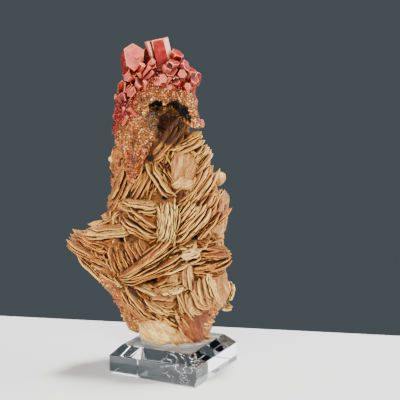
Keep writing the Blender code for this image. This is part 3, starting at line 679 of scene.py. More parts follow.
def instances(nodes, given, points, index, turn, size):
    """One of the variants on every point, by its index."""
    variants = nodes.add("GeometryNodeCollectionInfo", {
        "Collection": given["Variants"], "Separate Children": True, "Reset Children": True,
    })
    return nodes.add("GeometryNodeInstanceOnPoints", {
        "Points": points, "Instance": variants[0], "Pick Instance": True,
        "Instance Index": index, "Rotation": turn, "Scale": size,
    })[0]


def realized(nodes, mesh):
    return nodes.add("GeometryNodeRealizeInstances", {"Geometry": mesh})[0]


def finish_growth(nodes, given, mesh, around, reach):
    """Finds the crevices of a mesh among itself and what is around it, and sets its material."""
    both = nodes.add("GeometryNodeJoinGeometry", {0: [mesh, around]})[0]
    marked = nodes.add("GeometryNodeGroup", {
        "Mesh": mesh, "Around": both, "Reach": reach,
    }, node_tree=bpy.data.node_groups["Find crevices"])[0]
    coated = nodes.add(
        "GeometryNodeSetMaterial", {"Geometry": marked, "Material": given["Material"]})[0]
    nodes.add("NodeGroupOutput", {"Geometry": coated})


def mark_crevices_tree():
    """Finds the crevices of a mesh that is already whole."""
    nodes, given = growth_tree("Mark crevices", {"Mesh": "Geometry", "Around": "Object"})
    real = realized(nodes, given["Mesh"])
    finish_growth(nodes, given, real, geometry_of(nodes, given["Around"]), CRYSTAL_REACH)


def place_variants_tree():
    """Sets one of the variants on every point, by its variant, turn and size, and waves them."""
    nodes, given = growth_tree("Set variants on points", {
        "Points": "Geometry", "Variants": "Collection", "Body": "Object", "Wave size": "Float",
        "Wave height": "Float", "Nick size": "Float", "Nick height": "Float",
    })
    turn = nodes.add("FunctionNodeEulerToRotation", {0: nodes.named("turn", "FLOAT_VECTOR")})[0]
    real = realized(nodes, instances(
        nodes, given, given["Points"], nodes.named("variant", "INT"), turn,
        nodes.named("size", "FLOAT_VECTOR")))
    waves = wave_offset(nodes, given["Wave size"], given["Wave height"], 1.6)
    nicks = wave_offset(nodes, given["Nick size"], given["Nick height"], 9.0)
    moved = nodes.add("GeometryNodeSetPosition", {
        "Geometry": real, "Offset": nodes.vector("ADD", waves, nicks),
    })[0]
    finish_growth(nodes, given, moved, geometry_of(nodes, given["Body"]), BLADE_REACH)


def wave_offset(nodes, size, height, apart):
    """A smooth offset in space, of that size and height; apart sets neighbours out of step."""
    waves = nodes.add("ShaderNodeTexNoise", {
        "Vector": nodes.add("GeometryNodeInputPosition")[0],
        "W": nodes.named("tone", "FLOAT") * apart,
        "Scale": nodes.maths("DIVIDE", 1.0, size), "Detail": 1.0,
    }, noise_dimensions="4D")["Color"]
    centred = nodes.vector("SUBTRACT", waves, (0.5, 0.5, 0.5))
    return nodes.stretched(centred, height * 2.0)


def scatter_tree():
    """Sets one of the variants on random points of a surface, standing out of it at a slant."""
    nodes, given = growth_tree("Grow on a surface", {
        "Surface": "Geometry", "Variants": "Collection", "Spacing": "Float",
        "Most per area": "Float", "Radius": "Float", "Smallest": "Float", "Length": "Float",
        "Slant": "Float", "Seed": "Int",
    })
    seed = given["Seed"]
    spots = nodes.add("GeometryNodeDistributePointsOnFaces", {
        "Mesh": given["Surface"], "Distance Min": given["Spacing"],
        "Density Max": given["Most per area"], "Density Factor": nodes.named("grow", "FLOAT"),
        "Seed": seed,
    }, distribute_method="POISSON")
    slant = nodes.random("FLOAT_VECTOR", 1, seed, (-1, -1, -1), (1, 1, 1))
    aim = nodes.vector("ADD", spots["Normal"], nodes.stretched(slant, given["Slant"]))
    turn = nodes.add("FunctionNodeAlignRotationToVector", {"Vector": aim}, axis="Z")[0]
    radius = nodes.random("FLOAT", 2, seed, given["Smallest"], 1.0) * given["Radius"]
    height = radius * given["Length"] * nodes.random("FLOAT", 3, seed, 0.6, 1.0)
    size = nodes.add("ShaderNodeCombineXYZ", {"X": radius, "Y": radius, "Z": height})[0]
    placed = instances(
        nodes, given, spots["Points"], nodes.random("INT", 4, seed, 0, 999), turn, size)
    toned = nodes.add("GeometryNodeStoreNamedAttribute", {
        "Geometry": placed, "Name": "tone", "Value": nodes.random("FLOAT", 5, seed, 0.0, 1.0),
    }, data_type="FLOAT", domain="INSTANCE")[0]
    finish_growth(nodes, given, realized(nodes, toned), given["Surface"], DRUSE_REACH)


# Materials

class Material(Nodes):
    """The nodes of a new material."""

    def __init__(self, name, roughness, ior=1.5, shine=0.5):
        self.made = bpy.data.materials.new(name)
        self.made.use_nodes = True
        super().__init__(self.made.node_tree)
        self.coat({"Roughness": roughness, "IOR": ior, "Specular IOR Level": shine})

    def coat(self, given):
        """Feeds the shader's inputs by name."""
        for name, value in given.items():
            self.feed(self.tree.nodes["Principled BSDF"].inputs[name], value)

    def finished(self, face, height, distance, strength, **given):
        """The material, with its colour, its bump and other inputs of its shader."""
        bump = self.add(
            "ShaderNodeBump", {"Height": height, "Distance": distance, "Strength": strength})
        self.coat({"Base Color": colour_of(face), "Normal": bump["Normal"], **given})
        return self.made


def scaled(triple, share):
    """A colour or a place with each of its parts times share."""
    return tuple(share * part for part in triple)


def crevice_shaded(nodes, face, crevice_shade_colour):
    """The colour of a face with painted shade: browner, then darker the deeper it lies in a crevice.
    """
    crevice = nodes.on_mesh("crevice")
    face = nodes.mix(crevice.ramp(0.1, 0.38), face, nodes.tinted(face, (0.5, 0.33, 0.24)))
    return nodes.mix(crevice.ramp(0.34, 0.64), face, crevice_shade_colour)


def near_place(nodes, centre, half_sizes):
    """1 inside an ellipsoid, in millimetres, and easing to 0 outside it."""
    away = nodes.vector("SUBTRACT", nodes.place(), scaled(centre, MM))
    away = nodes.vector("DIVIDE", away, scaled(half_sizes, MM))
    return nodes.vector("LENGTH", away, output="Value").ramp(1.15, 0.75)


def shaded_recess_grey_column(nodes, face, tone):
    """A face painted grey brown as shade in the recess by the cave, and greyer in the left column.
    """
    recess_shade = nodes.mix(tone, (0.02, 0.01, 0.005), (0.22, 0.11, 0.045))
    column = nodes.tinted(face, (0.7, 0.62, 0.62))
    face = nodes.mix(near_place(nodes, *LEFT_COLUMN), face, column)
    return nodes.mix(near_place(nodes, *RECESS), face, recess_shade)


def shaded_floor(nodes, face):
    """The colour of a face, painted much darker on the cave's floor, as shade."""
    dark = nodes.tinted(face, (0.2, 0.16, 0.14))
    return nodes.mix(near_place(nodes, *CAVE_FLOOR), face, dark)


def blotched(nodes, face, blotch, low):
    """The colour of a face, dark where the blotches are less than low."""
    return nodes.mix(blotch.ramp(low, 0.4), face, nodes.tinted(face, (0.3, 0.2, 0.14)))


def clustered(nodes, tone):
    """The crystals' own tones, drawn towards those of their neighbours."""
    return nodes.grain(750.0, 2000.0)["Blotch"].ramp(0.38, 0.62) * 0.5 + tone * 0.5


def redness(nodes, blotch):
    """How red the crust is: from tan in the band over the cave to red above and on the left."""
    spot = nodes.add("ShaderNodeSeparateXYZ", {0: nodes.place()})
    left = nodes.maths("MAXIMUM", spot["X"] * -1.6 - 0.013, 0.0)
    return (blotch * 0.02 + (spot["Z"] + left)).ramp(0.099, 0.109)


def blade_material():
    """Barite blades: striated tan faces, cream rims, iron stains, painted shade between the blades.
    """
    look = bpy.context.scene.specimen_matrix
    nodes = Material("Barite blades", 0.5, 1.64, 0.25)
    grain = nodes.grain(260.0, 4200.0)
    blotch = grain["Blotch"]
    tone, stain, pale = (nodes.on_mesh(name) for name in ("tone", "stain", "pale"))
    streaks = nodes.add("ShaderNodeTexNoise", {
        "Vector": nodes.on_mesh("sheet", "Vector"), "W": tone * 40.0,
        "Scale": 1.5, "Detail": 4.0, "Roughness": 0.68,
    }, noise_dimensions="4D")["Fac"]
    mottle = nodes.grain(1000.0, 2400.0)["Blotch"]

    warmth = blotch * 1.1 + (tone - 0.85)
    face = nodes.mix(warmth.ramp(0.1, 0.8) * 0.7, look.face_colour, look.rim_colour)
    stained = stain * (blotch + streaks * 0.4).ramp(0.5, 0.75)
    face = nodes.mix(stained, face, look.stain_colour)
    face = nodes.mix(pale * streaks.ramp(0.3, 0.62), face, look.pale_colour)
    # Painted shade: the face is darker in the grooves and the fine layer lines, and in random dark
    # pits.
    lines = nodes.maths(
        "MAXIMUM", abs(streaks - 0.47).ramp(0.035, 0.006), streaks.ramp(0.42, 0.3))
    lines = nodes.maths("MAXIMUM", lines, nodes.on_mesh("groove"), clamp=True)
    pits = nodes.maths("MAXIMUM", lines, mottle.ramp(0.48, 0.34) * 0.75)
    face = nodes.mix(pits * 0.85, face, nodes.tinted(face, (0.34, 0.2, 0.12)))
    # The rims' cream is partly the blade's own pale edge and partly a painted highlight.
    rim = nodes.on_mesh("rim") * streaks.ramp(0.34, 0.56)
    rusty = stain * (tone * 0.4 + blotch).ramp(0.4, 0.75)
    rim_face = nodes.mix(rusty, look.rim_colour, look.rust_colour)
    rim_face = nodes.mix(pale, rim_face, look.pale_colour)
    face = nodes.mix(rim * 0.85, face, rim_face)
    # Painted shade: darker on the cave's floor and deep in the crevices.
    face = crevice_shaded(nodes, shaded_floor(nodes, face), look.crevice_colour)
    height = mottle * 0.8 + (grain["Height"] * 0.2 + streaks)
    return nodes.finished(face, height, 0.0006, 0.9, Roughness=streaks * 0.3 + 0.5)


def body_material():
    """The barite between the blades: granular, orange brown, dark in its pits."""
    look = bpy.context.scene.specimen_matrix
    nodes = Material("Barite body", 0.75, 1.64, 0.2)
    grain = nodes.grain(190.0, 1500.0)
    open_face = nodes.mix(
        nodes.on_mesh("grow").ramp(0.1, 0.5), scaled(look.face_colour, 0.5), look.face_colour)
    face = nodes.mix(grain["Blotch"].ramp(0.3, 0.6), look.crevice_colour, open_face)
    # Painted shade: much darker on the cave's floor, and near black on the cave's wall and in the
    # holes.
    face = nodes.mix(nodes.on_mesh("cave"), shaded_floor(nodes, face), CAVE_SHADE_COLOUR)
    return nodes.finished(face, grain["Height"], 0.0005, 0.9)


def grain_material():
    """Grains of barite on the body, from brown to cream."""
    look = bpy.context.scene.specimen_matrix
    nodes = Material("Barite grains", 0.45, 1.64, 0.3)
    grain = nodes.grain(240.0, 3000.0)
    blotch = grain["Blotch"]
    tone = clustered(nodes, nodes.on_mesh("tone"))
    face = nodes.mix(blotch.ramp(0.38, 0.66), look.stain_colour, look.face_colour)
    face = nodes.mix(tone.ramp(0.45, 1.0), face, look.rim_colour)
    face = nodes.mix(tone.ramp(0.3, 0.0), face, look.crevice_colour)
    # Painted shade: dark grey brown in the recess beside the cave.
    face = shaded_recess_grey_column(nodes, blotched(nodes, face, blotch, 0.5), tone)
    # Painted shade: darker on the cave's floor and in the crevices.
    face = crevice_shaded(nodes, shaded_floor(nodes, face), look.crevice_colour)
    return nodes.finished(face, grain["Height"], 0.0001, 0.6)


def crystal_material():
    """Vanadinite: red sides, frosted pink end faces, pale worn edges partly painted as highlights.
    """
    look = bpy.context.scene.specimen_crystals
    nodes = Material("Vanadinite crystals", 0.16, 1.55, 0.25)
    grain = nodes.grain(640.0, 5200.0)
    blotch = grain["Blotch"]
    shade = nodes.on_mesh("shade")
    # Painted shade: the sides darken towards the crystal's base, where it meets the crust.
    veins_and_base_shade = blotch * 1.3 + (nodes.on_mesh("base") * -0.5 + (shade - 0.65))
    deep = scaled(look.red_colour, 0.15)
    side = nodes.mix(veins_and_base_shade.ramp(-0.25, 0.3), deep, look.red_colour)
    side = nodes.mix(veins_and_base_shade.ramp(0.25, 1.1), side, look.pale_colour)
    cap = nodes.on_mesh("cap") * veins_and_base_shade.ramp(-0.3, 0.6)
    end = nodes.mix(blotch.ramp(0.4, 0.7), look.cap_colour, look.edge_colour)
    end = nodes.mix(0.75, end, look.cap_colour)
    face = nodes.mix(cap, side, end)
    # Painted highlight: the bright side, whose shade is over 1, is pale pink-white.
    face = nodes.mix(shade.ramp(1.02, 1.15), face, (0.95, 0.6, 0.46))
    # The pale edges are partly wear and partly painted edge highlights.
    worn = nodes.on_mesh("edge") * grain["Grain"].ramp(0.3, 0.6)
    # Painted shade: deep red in the crevices.
    face = crevice_shaded(nodes, nodes.mix(worn * 0.85, face, look.edge_colour), deep)
    rough = cap * 0.4 + (blotch * 0.35 + 0.05)
    return nodes.finished(face, grain["Height"] * 0.3 + blotch, 0.0002, 0.35, Roughness=rough)


def druse_material():
    """Small vanadinite crystals: tan, brown and cream in the band, red above it."""
    look = bpy.context.scene.specimen_crystals
    nodes = Material("Vanadinite druse", 0.3, 1.6, 0.4)
    grain = nodes.grain(330.0, 3600.0)
    blotch = grain["Blotch"]
    tone = clustered(nodes, nodes.on_mesh("tone"))
    low = nodes.mix(tone.ramp(0.25, 0.6), look.orange_colour, look.tan_colour)
    low = nodes.mix(tone.ramp(0.62, 0.8), low, look.cream_colour)
    high = nodes.mix(tone.ramp(0.1, 0.4), scaled(look.red_colour, 0.5), look.red_colour)
    high = nodes.mix(tone.ramp(0.6, 0.95), high, look.pale_colour)
    down = nodes.add("ShaderNodeSeparateXYZ", {0: nodes.place()})["Z"].ramp(0.079, 0.07)
    low = nodes.mix(down, low, nodes.tinted(low, (0.95, 0.52, 0.26)))
    face = nodes.mix(redness(nodes, blotch), low, high)
    # Painted shade: dark grey brown in the recess beside the cave.
    face = shaded_recess_grey_column(nodes, blotched(nodes, face, blotch, 0.52), tone)
    # Painted shade: near black deep in the crevices between the small crystals.
    face = crevice_shaded(nodes, face, (0.02, 0.007, 0.003))
    return nodes.finished(face, grain["Height"], 0.0001, 0.4)


def crust_material():
    """The crust between the small crystals."""
    look = bpy.context.scene.specimen_crystals
    nodes = Material("Vanadinite crust", 0.7, 1.5, 0.2)
    grain = nodes.grain(330.0, 2200.0)
    fine = grain["Grain"]
    low = nodes.mix(fine.ramp(0.4, 0.75), scaled(look.orange_colour, 0.25), look.tan_colour)
    high = nodes.mix(fine.ramp(0.35, 0.7), scaled(look.red_colour, 0.3), look.red_colour)
    face = nodes.mix(redness(nodes, grain["Blotch"]), low, high)
    # Painted shade: near black on the cave's wall.
    face = nodes.mix(nodes.on_mesh("cave"), face, CAVE_SHADE_COLOUR)
    return nodes.finished(face, grain["Height"], 0.0004, 0.8)


def acrylic_material():
    """Clear acrylic, polished, with faint handling marks and ripples seen through its front."""
    nodes = Material("Clear acrylic", 0.02, 1.49)
    marks = nodes.grain(90.0, 900.0)["Blotch"].ramp(0.55, 0.8) * 0.06
    ripples = nodes.add("ShaderNodeTexNoise", {
        "Vector": nodes.vector("MULTIPLY", nodes.place(), (1, 1, 2.2)),
        "Scale": 260.0, "Detail": 1.0,
    })["Fac"]
    crests = abs(ripples - 0.5).ramp(0.05, 0.0) * near_place(nodes, *RIPPLES)
    nodes.coat({"Transmission Weight": 1.0})
    return nodes.finished((0.97, 0.985, 0.98), crests, 0.0004, 0.8, Roughness=marks)


def glue_material():
    """Set clear glue, milky in places."""
    nodes = Material("Clear glue", 0.12, 1.48)
    blotch = nodes.grain(220.0, 1500.0)["Blotch"]
    face = nodes.mix(blotch.ramp(0.4, 0.7), (0.86, 0.79, 0.69), (0.64, 0.54, 0.42))
    nodes.coat({"Transmission Weight": 0.6})
    return nodes.finished(face, blotch, 0.0008, 0.3)


def floor_material():
    """A plain pale floor with a faint tooth."""
    look = bpy.context.scene.specimen_stage
    nodes = Material("Pale floor", 0.6)
    blotch = nodes.grain(40.0, 1800.0)["Blotch"]
    nodes.coat({
        "Base Color": nodes.mix(blotch, scaled(look.floor_colour, 0.96), look.floor_colour)})
    return nodes.made


# Shapes

def new_piece(name, mesh, material=None):
    if material:
        mesh.materials.append(material)
    piece = bpy.data.objects.new(name, mesh)
    bpy.context.scene.collection.objects.link(piece)
    return piece


def body_mesh(name, body, smooth=False):
    """A mesh from a bmesh in metres, its faces pointing out."""
    body.normal_update()
    bmesh.ops.recalc_face_normals(body, faces=body.faces)
    mesh = bpy.data.meshes.new(name)
    body.to_mesh(mesh)
    body.free()
    if smooth:
        mesh.shade_smooth()
    return mesh


def add_modifier(piece, kind, **settings):
    step = piece.modifiers.new(kind.title(), kind)
    for name, value in settings.items():
        setattr(step, name, value)
    return step


def applied(piece):
    """Puts the evaluated mesh in place of the piece's mesh and its modifiers."""
    graph = bpy.context.evaluated_depsgraph_get()
    made = bpy.data.meshes.new_from_object(
        piece.evaluated_get(graph), preserve_all_data_layers=True, depsgraph=graph
    )
    piece.modifiers.clear()
    piece.data = made
    return piece


def grown(name, mesh, tree_name, values):
    """A piece made by a Geometry Nodes tree from a mesh, with a value for each named input."""
    piece = new_piece(name, mesh)
    step = add_modifier(piece, "NODES", node_group=bpy.data.node_groups[tree_name])
    for item in step.node_group.interface.items_tree:
        if item.item_type == "SOCKET" and item.in_out == "INPUT" and item.name in values:
            step[item.identifier] = values[item.name]
    return applied(piece)


def variant_collection(name, meshes):
    """The shapes that a tree picks from, in order."""
    group = bpy.data.collections.new(name)
    for number, mesh in enumerate(meshes):
        group.objects.link(bpy.data.objects.new(f"{name}_{number:02d}", mesh))
    return group


def remove_variants(group):
    for thing in list(group.objects):
        bpy.data.objects.remove(thing)
    bpy.data.collections.remove(group)


def hand_over(piece, slot_name, *nodes):
    """The finished piece rides on the body and stands for these CAD nodes; slot_name is not used."""
    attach(piece, BODY)
    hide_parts(*nodes)


def level_at(levels, z):
    """The reach of a stack of levels at height z, eased between the two nearest levels."""
    for low, high in zip(levels, levels[1:]):
        if z <= high.z:
            share = (z - low.z) / (high.z - low.z)
            return Level(z, *(a + (b - a) * share for a, b in zip(low[1:], high[1:])))
    return levels[-1]


def lumpiness(point, lump, lump_size):
    coarse = noise.noise(point / lump_size)
    fine = noise.noise(point / (lump_size * 0.45))
    return lump * (coarse + 0.5 * fine)


def wall_point(levels, z, angle, lump, lump_size, grow=0.0, lean=0.0):
    """The point of a stacked body's wall at height z and angle, counterclockwise from +X."""
    level = level_at(levels, min(max(z, levels[0].z), levels[-1].z))
    middle = Vector(((level.left + level.right) / 2, (level.front + level.back) / 2, z))
    half_x, half_y = (level.right - level.left) / 2, (level.back - level.front) / 2
    c, s = math.cos(angle), math.sin(angle)
    power = 2 / SQUARENESS
    reach = Vector((
        half_x * math.copysign(abs(c) ** power, c),
        half_y * math.copysign(abs(s) ** power, s),
        0,
    ))
    out = grow + lumpiness(middle + reach, lump, lump_size)
    wall = middle + reach + reach.normalized() * out
    wall.z -= lean * wall.y
    return wall


def add_stack(body, levels, sides, rings, lump, lump_size, grow=0.0, lean=0.0):
    """Adds a closed lumpy body through the levels, in metres."""
    low, high = levels[0].z, levels[-1].z
    loops = []
    for ring in range(rings + 1):
        z = low + (high - low) * ring / rings
        walls = (wall_point(levels, z, math.tau * side / sides, lump, lump_size, grow, lean)
                 for side in range(sides))
        loops.append([body.verts.new(wall * MM) for wall in walls])
    add_tube(body, loops)


def add_tube(body, loops):
    """Adds the faces of a closed tube through loops of vertices."""
    for lower, upper in zip(loops, loops[1:]):
        for side in range(len(lower)):
            after = (side + 1) % len(lower)
            body.faces.new((lower[side], lower[after], upper[after], upper[side]))
    body.faces.new(reversed(loops[0]))
    body.faces.new(loops[-1])


def cave_cutters():
    """The cave's lumps, as a collection for a Boolean."""
    group = bpy.data.collections.new("cave_lumps")
    bpy.context.scene.collection.children.link(group)
    holes = [((x, HOLE_MIDDLE, z), (radius, HOLE_DEPTH, radius)) for x, z, radius in HOLES]
    for number, (centre, half_sizes) in enumerate(CAVE_LUMPS + holes):
        body = bmesh.new()
        bmesh.ops.create_icosphere(body, subdivisions=3, radius=1.0)
        for vert in body.verts:
            rough = 1 + 0.16 * noise.noise(vert.co * 2.2 + Vector(centre))
            vert.co = Vector(a * b * rough for a, b in zip(vert.co, half_sizes)) + Vector(centre)
            vert.co *= MM
        lump = bpy.data.objects.new(f"cave_lump_{number}", body_mesh("cave_lump", body))
        group.objects.link(lump)
    return group


def remeshed_body(name, body, voxel, rough_layers):
    """A fine closed surface round the stacks in body, less the cave, with noise out of it.

    rough_layers are (height, size) of the noise, in millimetres.
    """
    piece = new_piece(name, body_mesh(name, body))
    cave = cave_cutters()
    add_modifier(piece, "REMESH", mode="VOXEL", voxel_size=voxel * 2)
    applied(piece)
    add_modifier(
        piece, "BOOLEAN", operation="DIFFERENCE", operand_type="COLLECTION", collection=cave)
    add_modifier(piece, "REMESH", mode="VOXEL", voxel_size=voxel)
    applied(piece)
    remove_variants(cave)
    mesh = piece.data
    normals = [Vector(normal.vector) for normal in mesh.vertex_normals]
    for vert, normal in zip(mesh.vertices, normals):
        spot = vert.co / MM
        out = sum(height * noise.noise(spot / size) for height, size in rough_layers)
        vert.co += normal * (out * MM)
    mesh.shade_smooth()
    return piece


# Barite blades

Placed = namedtuple("Placed", "place turn size variant tone stain pale")


def blade_mesh(name, dice, columns, rows, blunt, thin_ends):
    """A ragged tabular blade from -1 to 1: x along its run, y from its outer rim inwards.

    Its outline is angular and its ends are broken. rows are (y, thickness), thinner in grooves
    that run along the blade. It carries rim, groove and sheet values for its material.
    """
    body = bmesh.new()
    rim_layer = body.verts.layers.float.new("rim")
    groove_layer = body.verts.layers.float.new("groove")
    sheet_layer = body.verts.layers.float_vector.new("sheet")
    shift = dice.uniform(0, 100)
    corners = [(-1, 0.0)]
    for number in range(1, 7):
        u = -1 + 2 * number / 7 + dice.uniform(-0.09, 0.09)
        corners.append((u, (1 - abs(u) ** blunt) ** 0.55 * dice.uniform(0.74, 1.08)))
    corners.append((1, 0.0))
    sides = {}
    for side in (1, -1):
        for i in range(columns):
            u = math.sin(math.pi * (i / (columns - 1) - 0.5))
            reach = along(corners, u)
            reach *= 1 + 0.06 * noise.noise(Vector((u * 9, shift, 5)))
            taper = (1 - abs(u) ** thin_ends) ** 0.8
            for j, (v, thickness) in enumerate(rows):
                on_edge = i in (0, columns - 1) or j in (0, len(rows) - 1)
                if on_edge and side == -1:
                    sides[side, i, j] = sides[1, i, j]
                    continue
                bend = 0.5 * noise.noise(Vector((u * 1.3, v * 0.8, shift)))
                groove = 0.0 if on_edge else (1 - thickness) * min(1.3, max(
                    0.0, 0.7 + 1.4 * noise.noise(Vector((u * 2.2, j * 3.7, shift)))))
                swell = 0.0 if on_edge else taper * (1 - groove)
                z = bend + side * swell
                vert = body.verts.new((u, v * max(reach, 0.0), z))
                vert[rim_layer] = min(1.0, max(0.0, (max(-v, abs(u) ** 3) - 0.8) / 0.15))
                vert[groove_layer] = groove / 0.5
                vert[sheet_layer] = Vector((u, 2.8 * v + 0.8 * z, shift))
                sides[side, i, j] = vert
    for side in (1, -1):
        for i in range(columns - 1):
            for j in range(len(rows) - 1):
                loop = [sides[side, i, j], sides[side, i + 1, j],
                        sides[side, i + 1, j + 1], sides[side, i, j + 1]]
                loop = list(dict.fromkeys(loop))
                if side == -1:
                    loop.reverse()
                if len(loop) > 2:
                    body.faces.new(loop)
    bmesh.ops.remove_doubles(body, verts=body.verts, dist=1e-5)
    return body_mesh(name, body, smooth=True)


def blade_meshes(dice):
    """The fine blades, the coarse ones and the plates, in the order of FINE, COARSE and PLATES."""
    made = []
    for shapes, columns, rows, blunt, thin_ends in (
        (FINE, 17, FINE_ROWS, (2.4, 7.0), 7.0),
        (COARSE, 9, COARSE_ROWS, (2.4, 7.0), 7.0),
        (PLATES, 15, PLATE_ROWS, (3.5, 7.0), 8.0),
    ):
        for number in shapes:
            made.append(
                blade_mesh(f"blade_{number}", dice, columns, rows, dice.uniform(*blunt), thin_ends))
    return made


def along(corners, u):
    """The value at u on straight lines through (u, value) corners."""
    for (low, first), (high, second) in zip(corners, corners[1:]):
        if u <= high:
            return first + (second - first) * (u - low) / (high - low)
    return corners[-1][1]


def lump_mesh(name):
    """The smooth lumps, with lines that follow their growth."""
    body = bmesh.new()
    layers = {label: body.verts.layers.float.new(label)
              for label in ("tone", "stain", "pale", "rim", "groove")}
    sheet_layer = body.verts.layers.float_vector.new("sheet")
    for number, lump in enumerate(LUMPS):
        run, across = run_and_up(lump.lines, Matrix.Identity(3))
        fineness = 6 if max(lump.half_sizes) > 5 else 5
        made = bmesh.ops.create_icosphere(body, subdivisions=fineness, radius=1.0)["verts"]
        for vert in made:
            spot = Vector(a * b for a, b in zip(vert.co, lump.half_sizes))
            along_run, along_across = spot.dot(run), spot.dot(across)
            seed = number * 7.3
            out = 0.55 * noise.noise(Vector((along_run / 5, along_across / 2.4, seed)))
            out += 0.22 * noise.noise(Vector((along_run / 5, along_across / 0.7, seed + 3)))
            out += 0.5 * noise.noise(spot / 4 + Vector((seed, 0, 0)))
            vert.co = (Vector(lump.centre) + spot + vert.co * out) * MM
            vert[sheet_layer] = Vector((along_run / 8, along_across, seed))
            line = noise.noise(Vector((along_run / 4, along_across / 0.5, seed + 9)))
            groove = max(0.0, 0.5 * lump.stain ** 2 + 1.4 * line)
            for label, value in (("tone", lump.pale), ("stain", lump.stain),
                                 ("pale", lump.pale), ("groove", groove)):
                vert[layers[label]] = value
    return body_mesh(name, body, smooth=True)


def run_and_up(turn, around):
    """The directions along a run at this turn and across it, as seen from around."""
    angle = math.radians(turn)
    run = around @ Vector((math.cos(angle), 0, math.sin(angle)))
    up = around @ Vector((-math.sin(angle), 0, math.cos(angle)))
    return run, up


def one_blade(middle, run_angle, tilt, around, size, variant, tone, stain, pale):
    """A placed blade; size is its length, depth and thickness in millimetres."""
    run, up = run_and_up(run_angle, around)
    into = around @ Vector((0, 1, 0))
    tilt = math.radians(tilt)
    depth = into * math.cos(tilt) + up * math.sin(tilt)
    normal = run.cross(depth)
    turn = Matrix((run, depth, normal)).transposed().to_euler()
    return Placed(middle * MM, turn, Vector(size) / 2 * MM, variant, tone, stain, pale)


def fan_blades(fan, heading, shapes, dice):
    """The blades of a fan as seen from heading: an outer layer of these shapes over a coarse one."""
    around = Matrix.Rotation(math.radians(heading), 3, "Z")
    into = around @ Vector((0, 1, 0))
    centre = Vector((fan.x, fan.y, fan.z))
    base_run, base_up = run_and_up(fan.turn, around)
    pivot = centre + base_run * (fan.pivot * fan.length / 2)
    crowding = CROWDING
    if fan.tilt >= PLATE_TILT:
        shapes, crowding = PLATES, 1.0
    for sink, stretch, share in FAN_LAYERS:
        count = max(2, round(fan.count * (share * crowding)))
        widen = stretch * (fan.count - 1) / (count - 1)
        for number in range(count):
            offset = widen * (number - (count - 1) / 2)
            angle = fan.turn + fan.fan * offset / stretch + dice.gauss(0, 3)
            tilt = fan.tilt + 8 + dice.gauss(0, 8)
            depth = fan.depth
            if fan.tilt < PLATE_TILT:
                depth = min(depth, FACE_WIDTH / math.sin(math.radians(max(tilt, 5))))
            run, _ = run_and_up(angle, around)
            length = fan.length * dice.uniform(0.7, 1.02) * (0.92 if sink else 1)
            step = base_up * (fan.step * (offset + dice.uniform(-0.3, 0.3)))
            slide = run * (fan.length - length) * dice.uniform(-0.5, 0.5)
            middle = pivot + step - run * (fan.pivot * fan.length / 2) + slide
            middle += into * (abs(math.cos(math.radians(tilt))) * depth / 2)
            middle += into * (sink + dice.uniform(-0.3, 1.3))
            tone = dice.random()
            stain = min(1.0, max(0.0, fan.stain + dice.uniform(-0.2, 0.25)))
            pale = min(1.0, max(0.0, fan.pale + dice.uniform(-0.3, 0.2)))
            size = (length, depth, fan.thick * dice.uniform(0.75, 1.3))
            variant = dice.choice(COARSE if sink else shapes)
            yield one_blade(middle, angle, tilt, around, size, variant, tone, stain, pale)
            for _ in range(dice.choice((1, 1, 2, 2)) if sink == 0 else 0):
                part = dice.uniform(0.3, 0.8)
                split = middle + run * (length * (1 - part) * dice.uniform(-0.5, 0.5))
                split += into * dice.uniform(-0.4, 0.7) + base_up * dice.uniform(-0.45, 0.45)
                size = (length * part, depth * dice.uniform(0.8, 1.0), fan.thick * 0.6)
                yield one_blade(
                    split, angle + dice.gauss(0, 5), tilt + dice.gauss(0, 8), around, size,
                    dice.choice(COARSE), (tone + dice.uniform(-0.3, 0.3)) % 1.0, stain, pale,
                )


def side_fans(angles, heights, seed, stand, counts, lengths, stagger):
    """(fan, heading) for the sides and the back, set on the core's wall."""
    dice = random.Random(seed)
    for row, height in enumerate(heights):
        for place, turned in enumerate(angles):
            heading = turned + stagger * (row % 2) + dice.uniform(-6, 6)
            z = height + dice.uniform(-2, 2) + 2.5 * (place % 2)
            wall = wall_point(
                CORE_LEVELS, z, math.radians(heading - 90), CORE_LUMP, CORE_LUMP_SIZE, stand
            )
            at_foot = wall.z < FOOT_TOP and wall.y < 0
            if grain_share(wall) == 1.0 or wall.x < FIN_ROOT or at_foot:
                continue
            turn = dice.choice(SIDE_TURNS) + dice.uniform(-8, 8)
            length, tilt = dice.uniform(*lengths), dice.choice(SIDE_TILTS)
            stain, pale = dice.uniform(0.1, 0.6), dice.uniform(0.1, 0.6)
            yield Fan(
                "side", wall.x, wall.z, wall.y, turn, tilt, length, 8, dice.choice(counts), 0.8,
                dice.uniform(-3, 3), dice.choice((-1, 0, 1)), stain, pale
            ), heading


def front_wall(x, z):
    """The y of the core's front wall at x and z, or None beside it."""
    level = level_at(CORE_LEVELS, z)
    share = (2 * x - level.left - level.right) / (level.right - level.left)
    if abs(share) > 0.9:
        return None
    half = (level.back - level.front) / 2
    return (level.back + level.front) / 2 - half * (1 - abs(share) ** SQUARENESS) ** (
        1 / SQUARENESS)


def under_crust(x, z):
    """Whether a place on the front is the cave's or the crystals'."""
    return any(left < x < right and z > low for left, right, low in UNDER_CRUST)


def in_hole(x, z):
    return any(math.hypot(x - hole_x, z - hole_z) < radius for hole_x, hole_z, radius in HOLES)


def crosses_hole(blade):
    """Whether a placed blade runs across one of the dark holes, as seen from the front."""
    run = blade.turn.to_matrix().col[0]
    run.y = 0
    for x, z, radius in HOLES:
        gap = Vector((x * MM - blade.place.x, 0, z * MM - blade.place.z))
        share = max(-blade.size.x, min(blade.size.x, gap.dot(run) / max(run.length_squared, 0.01)))
        if (gap - run * share).length < 0.8 * radius * MM:
            return True
    return False


def in_box(spot, low, high):
    return all(a <= b <= c for a, b, c in zip(low, spot, high))


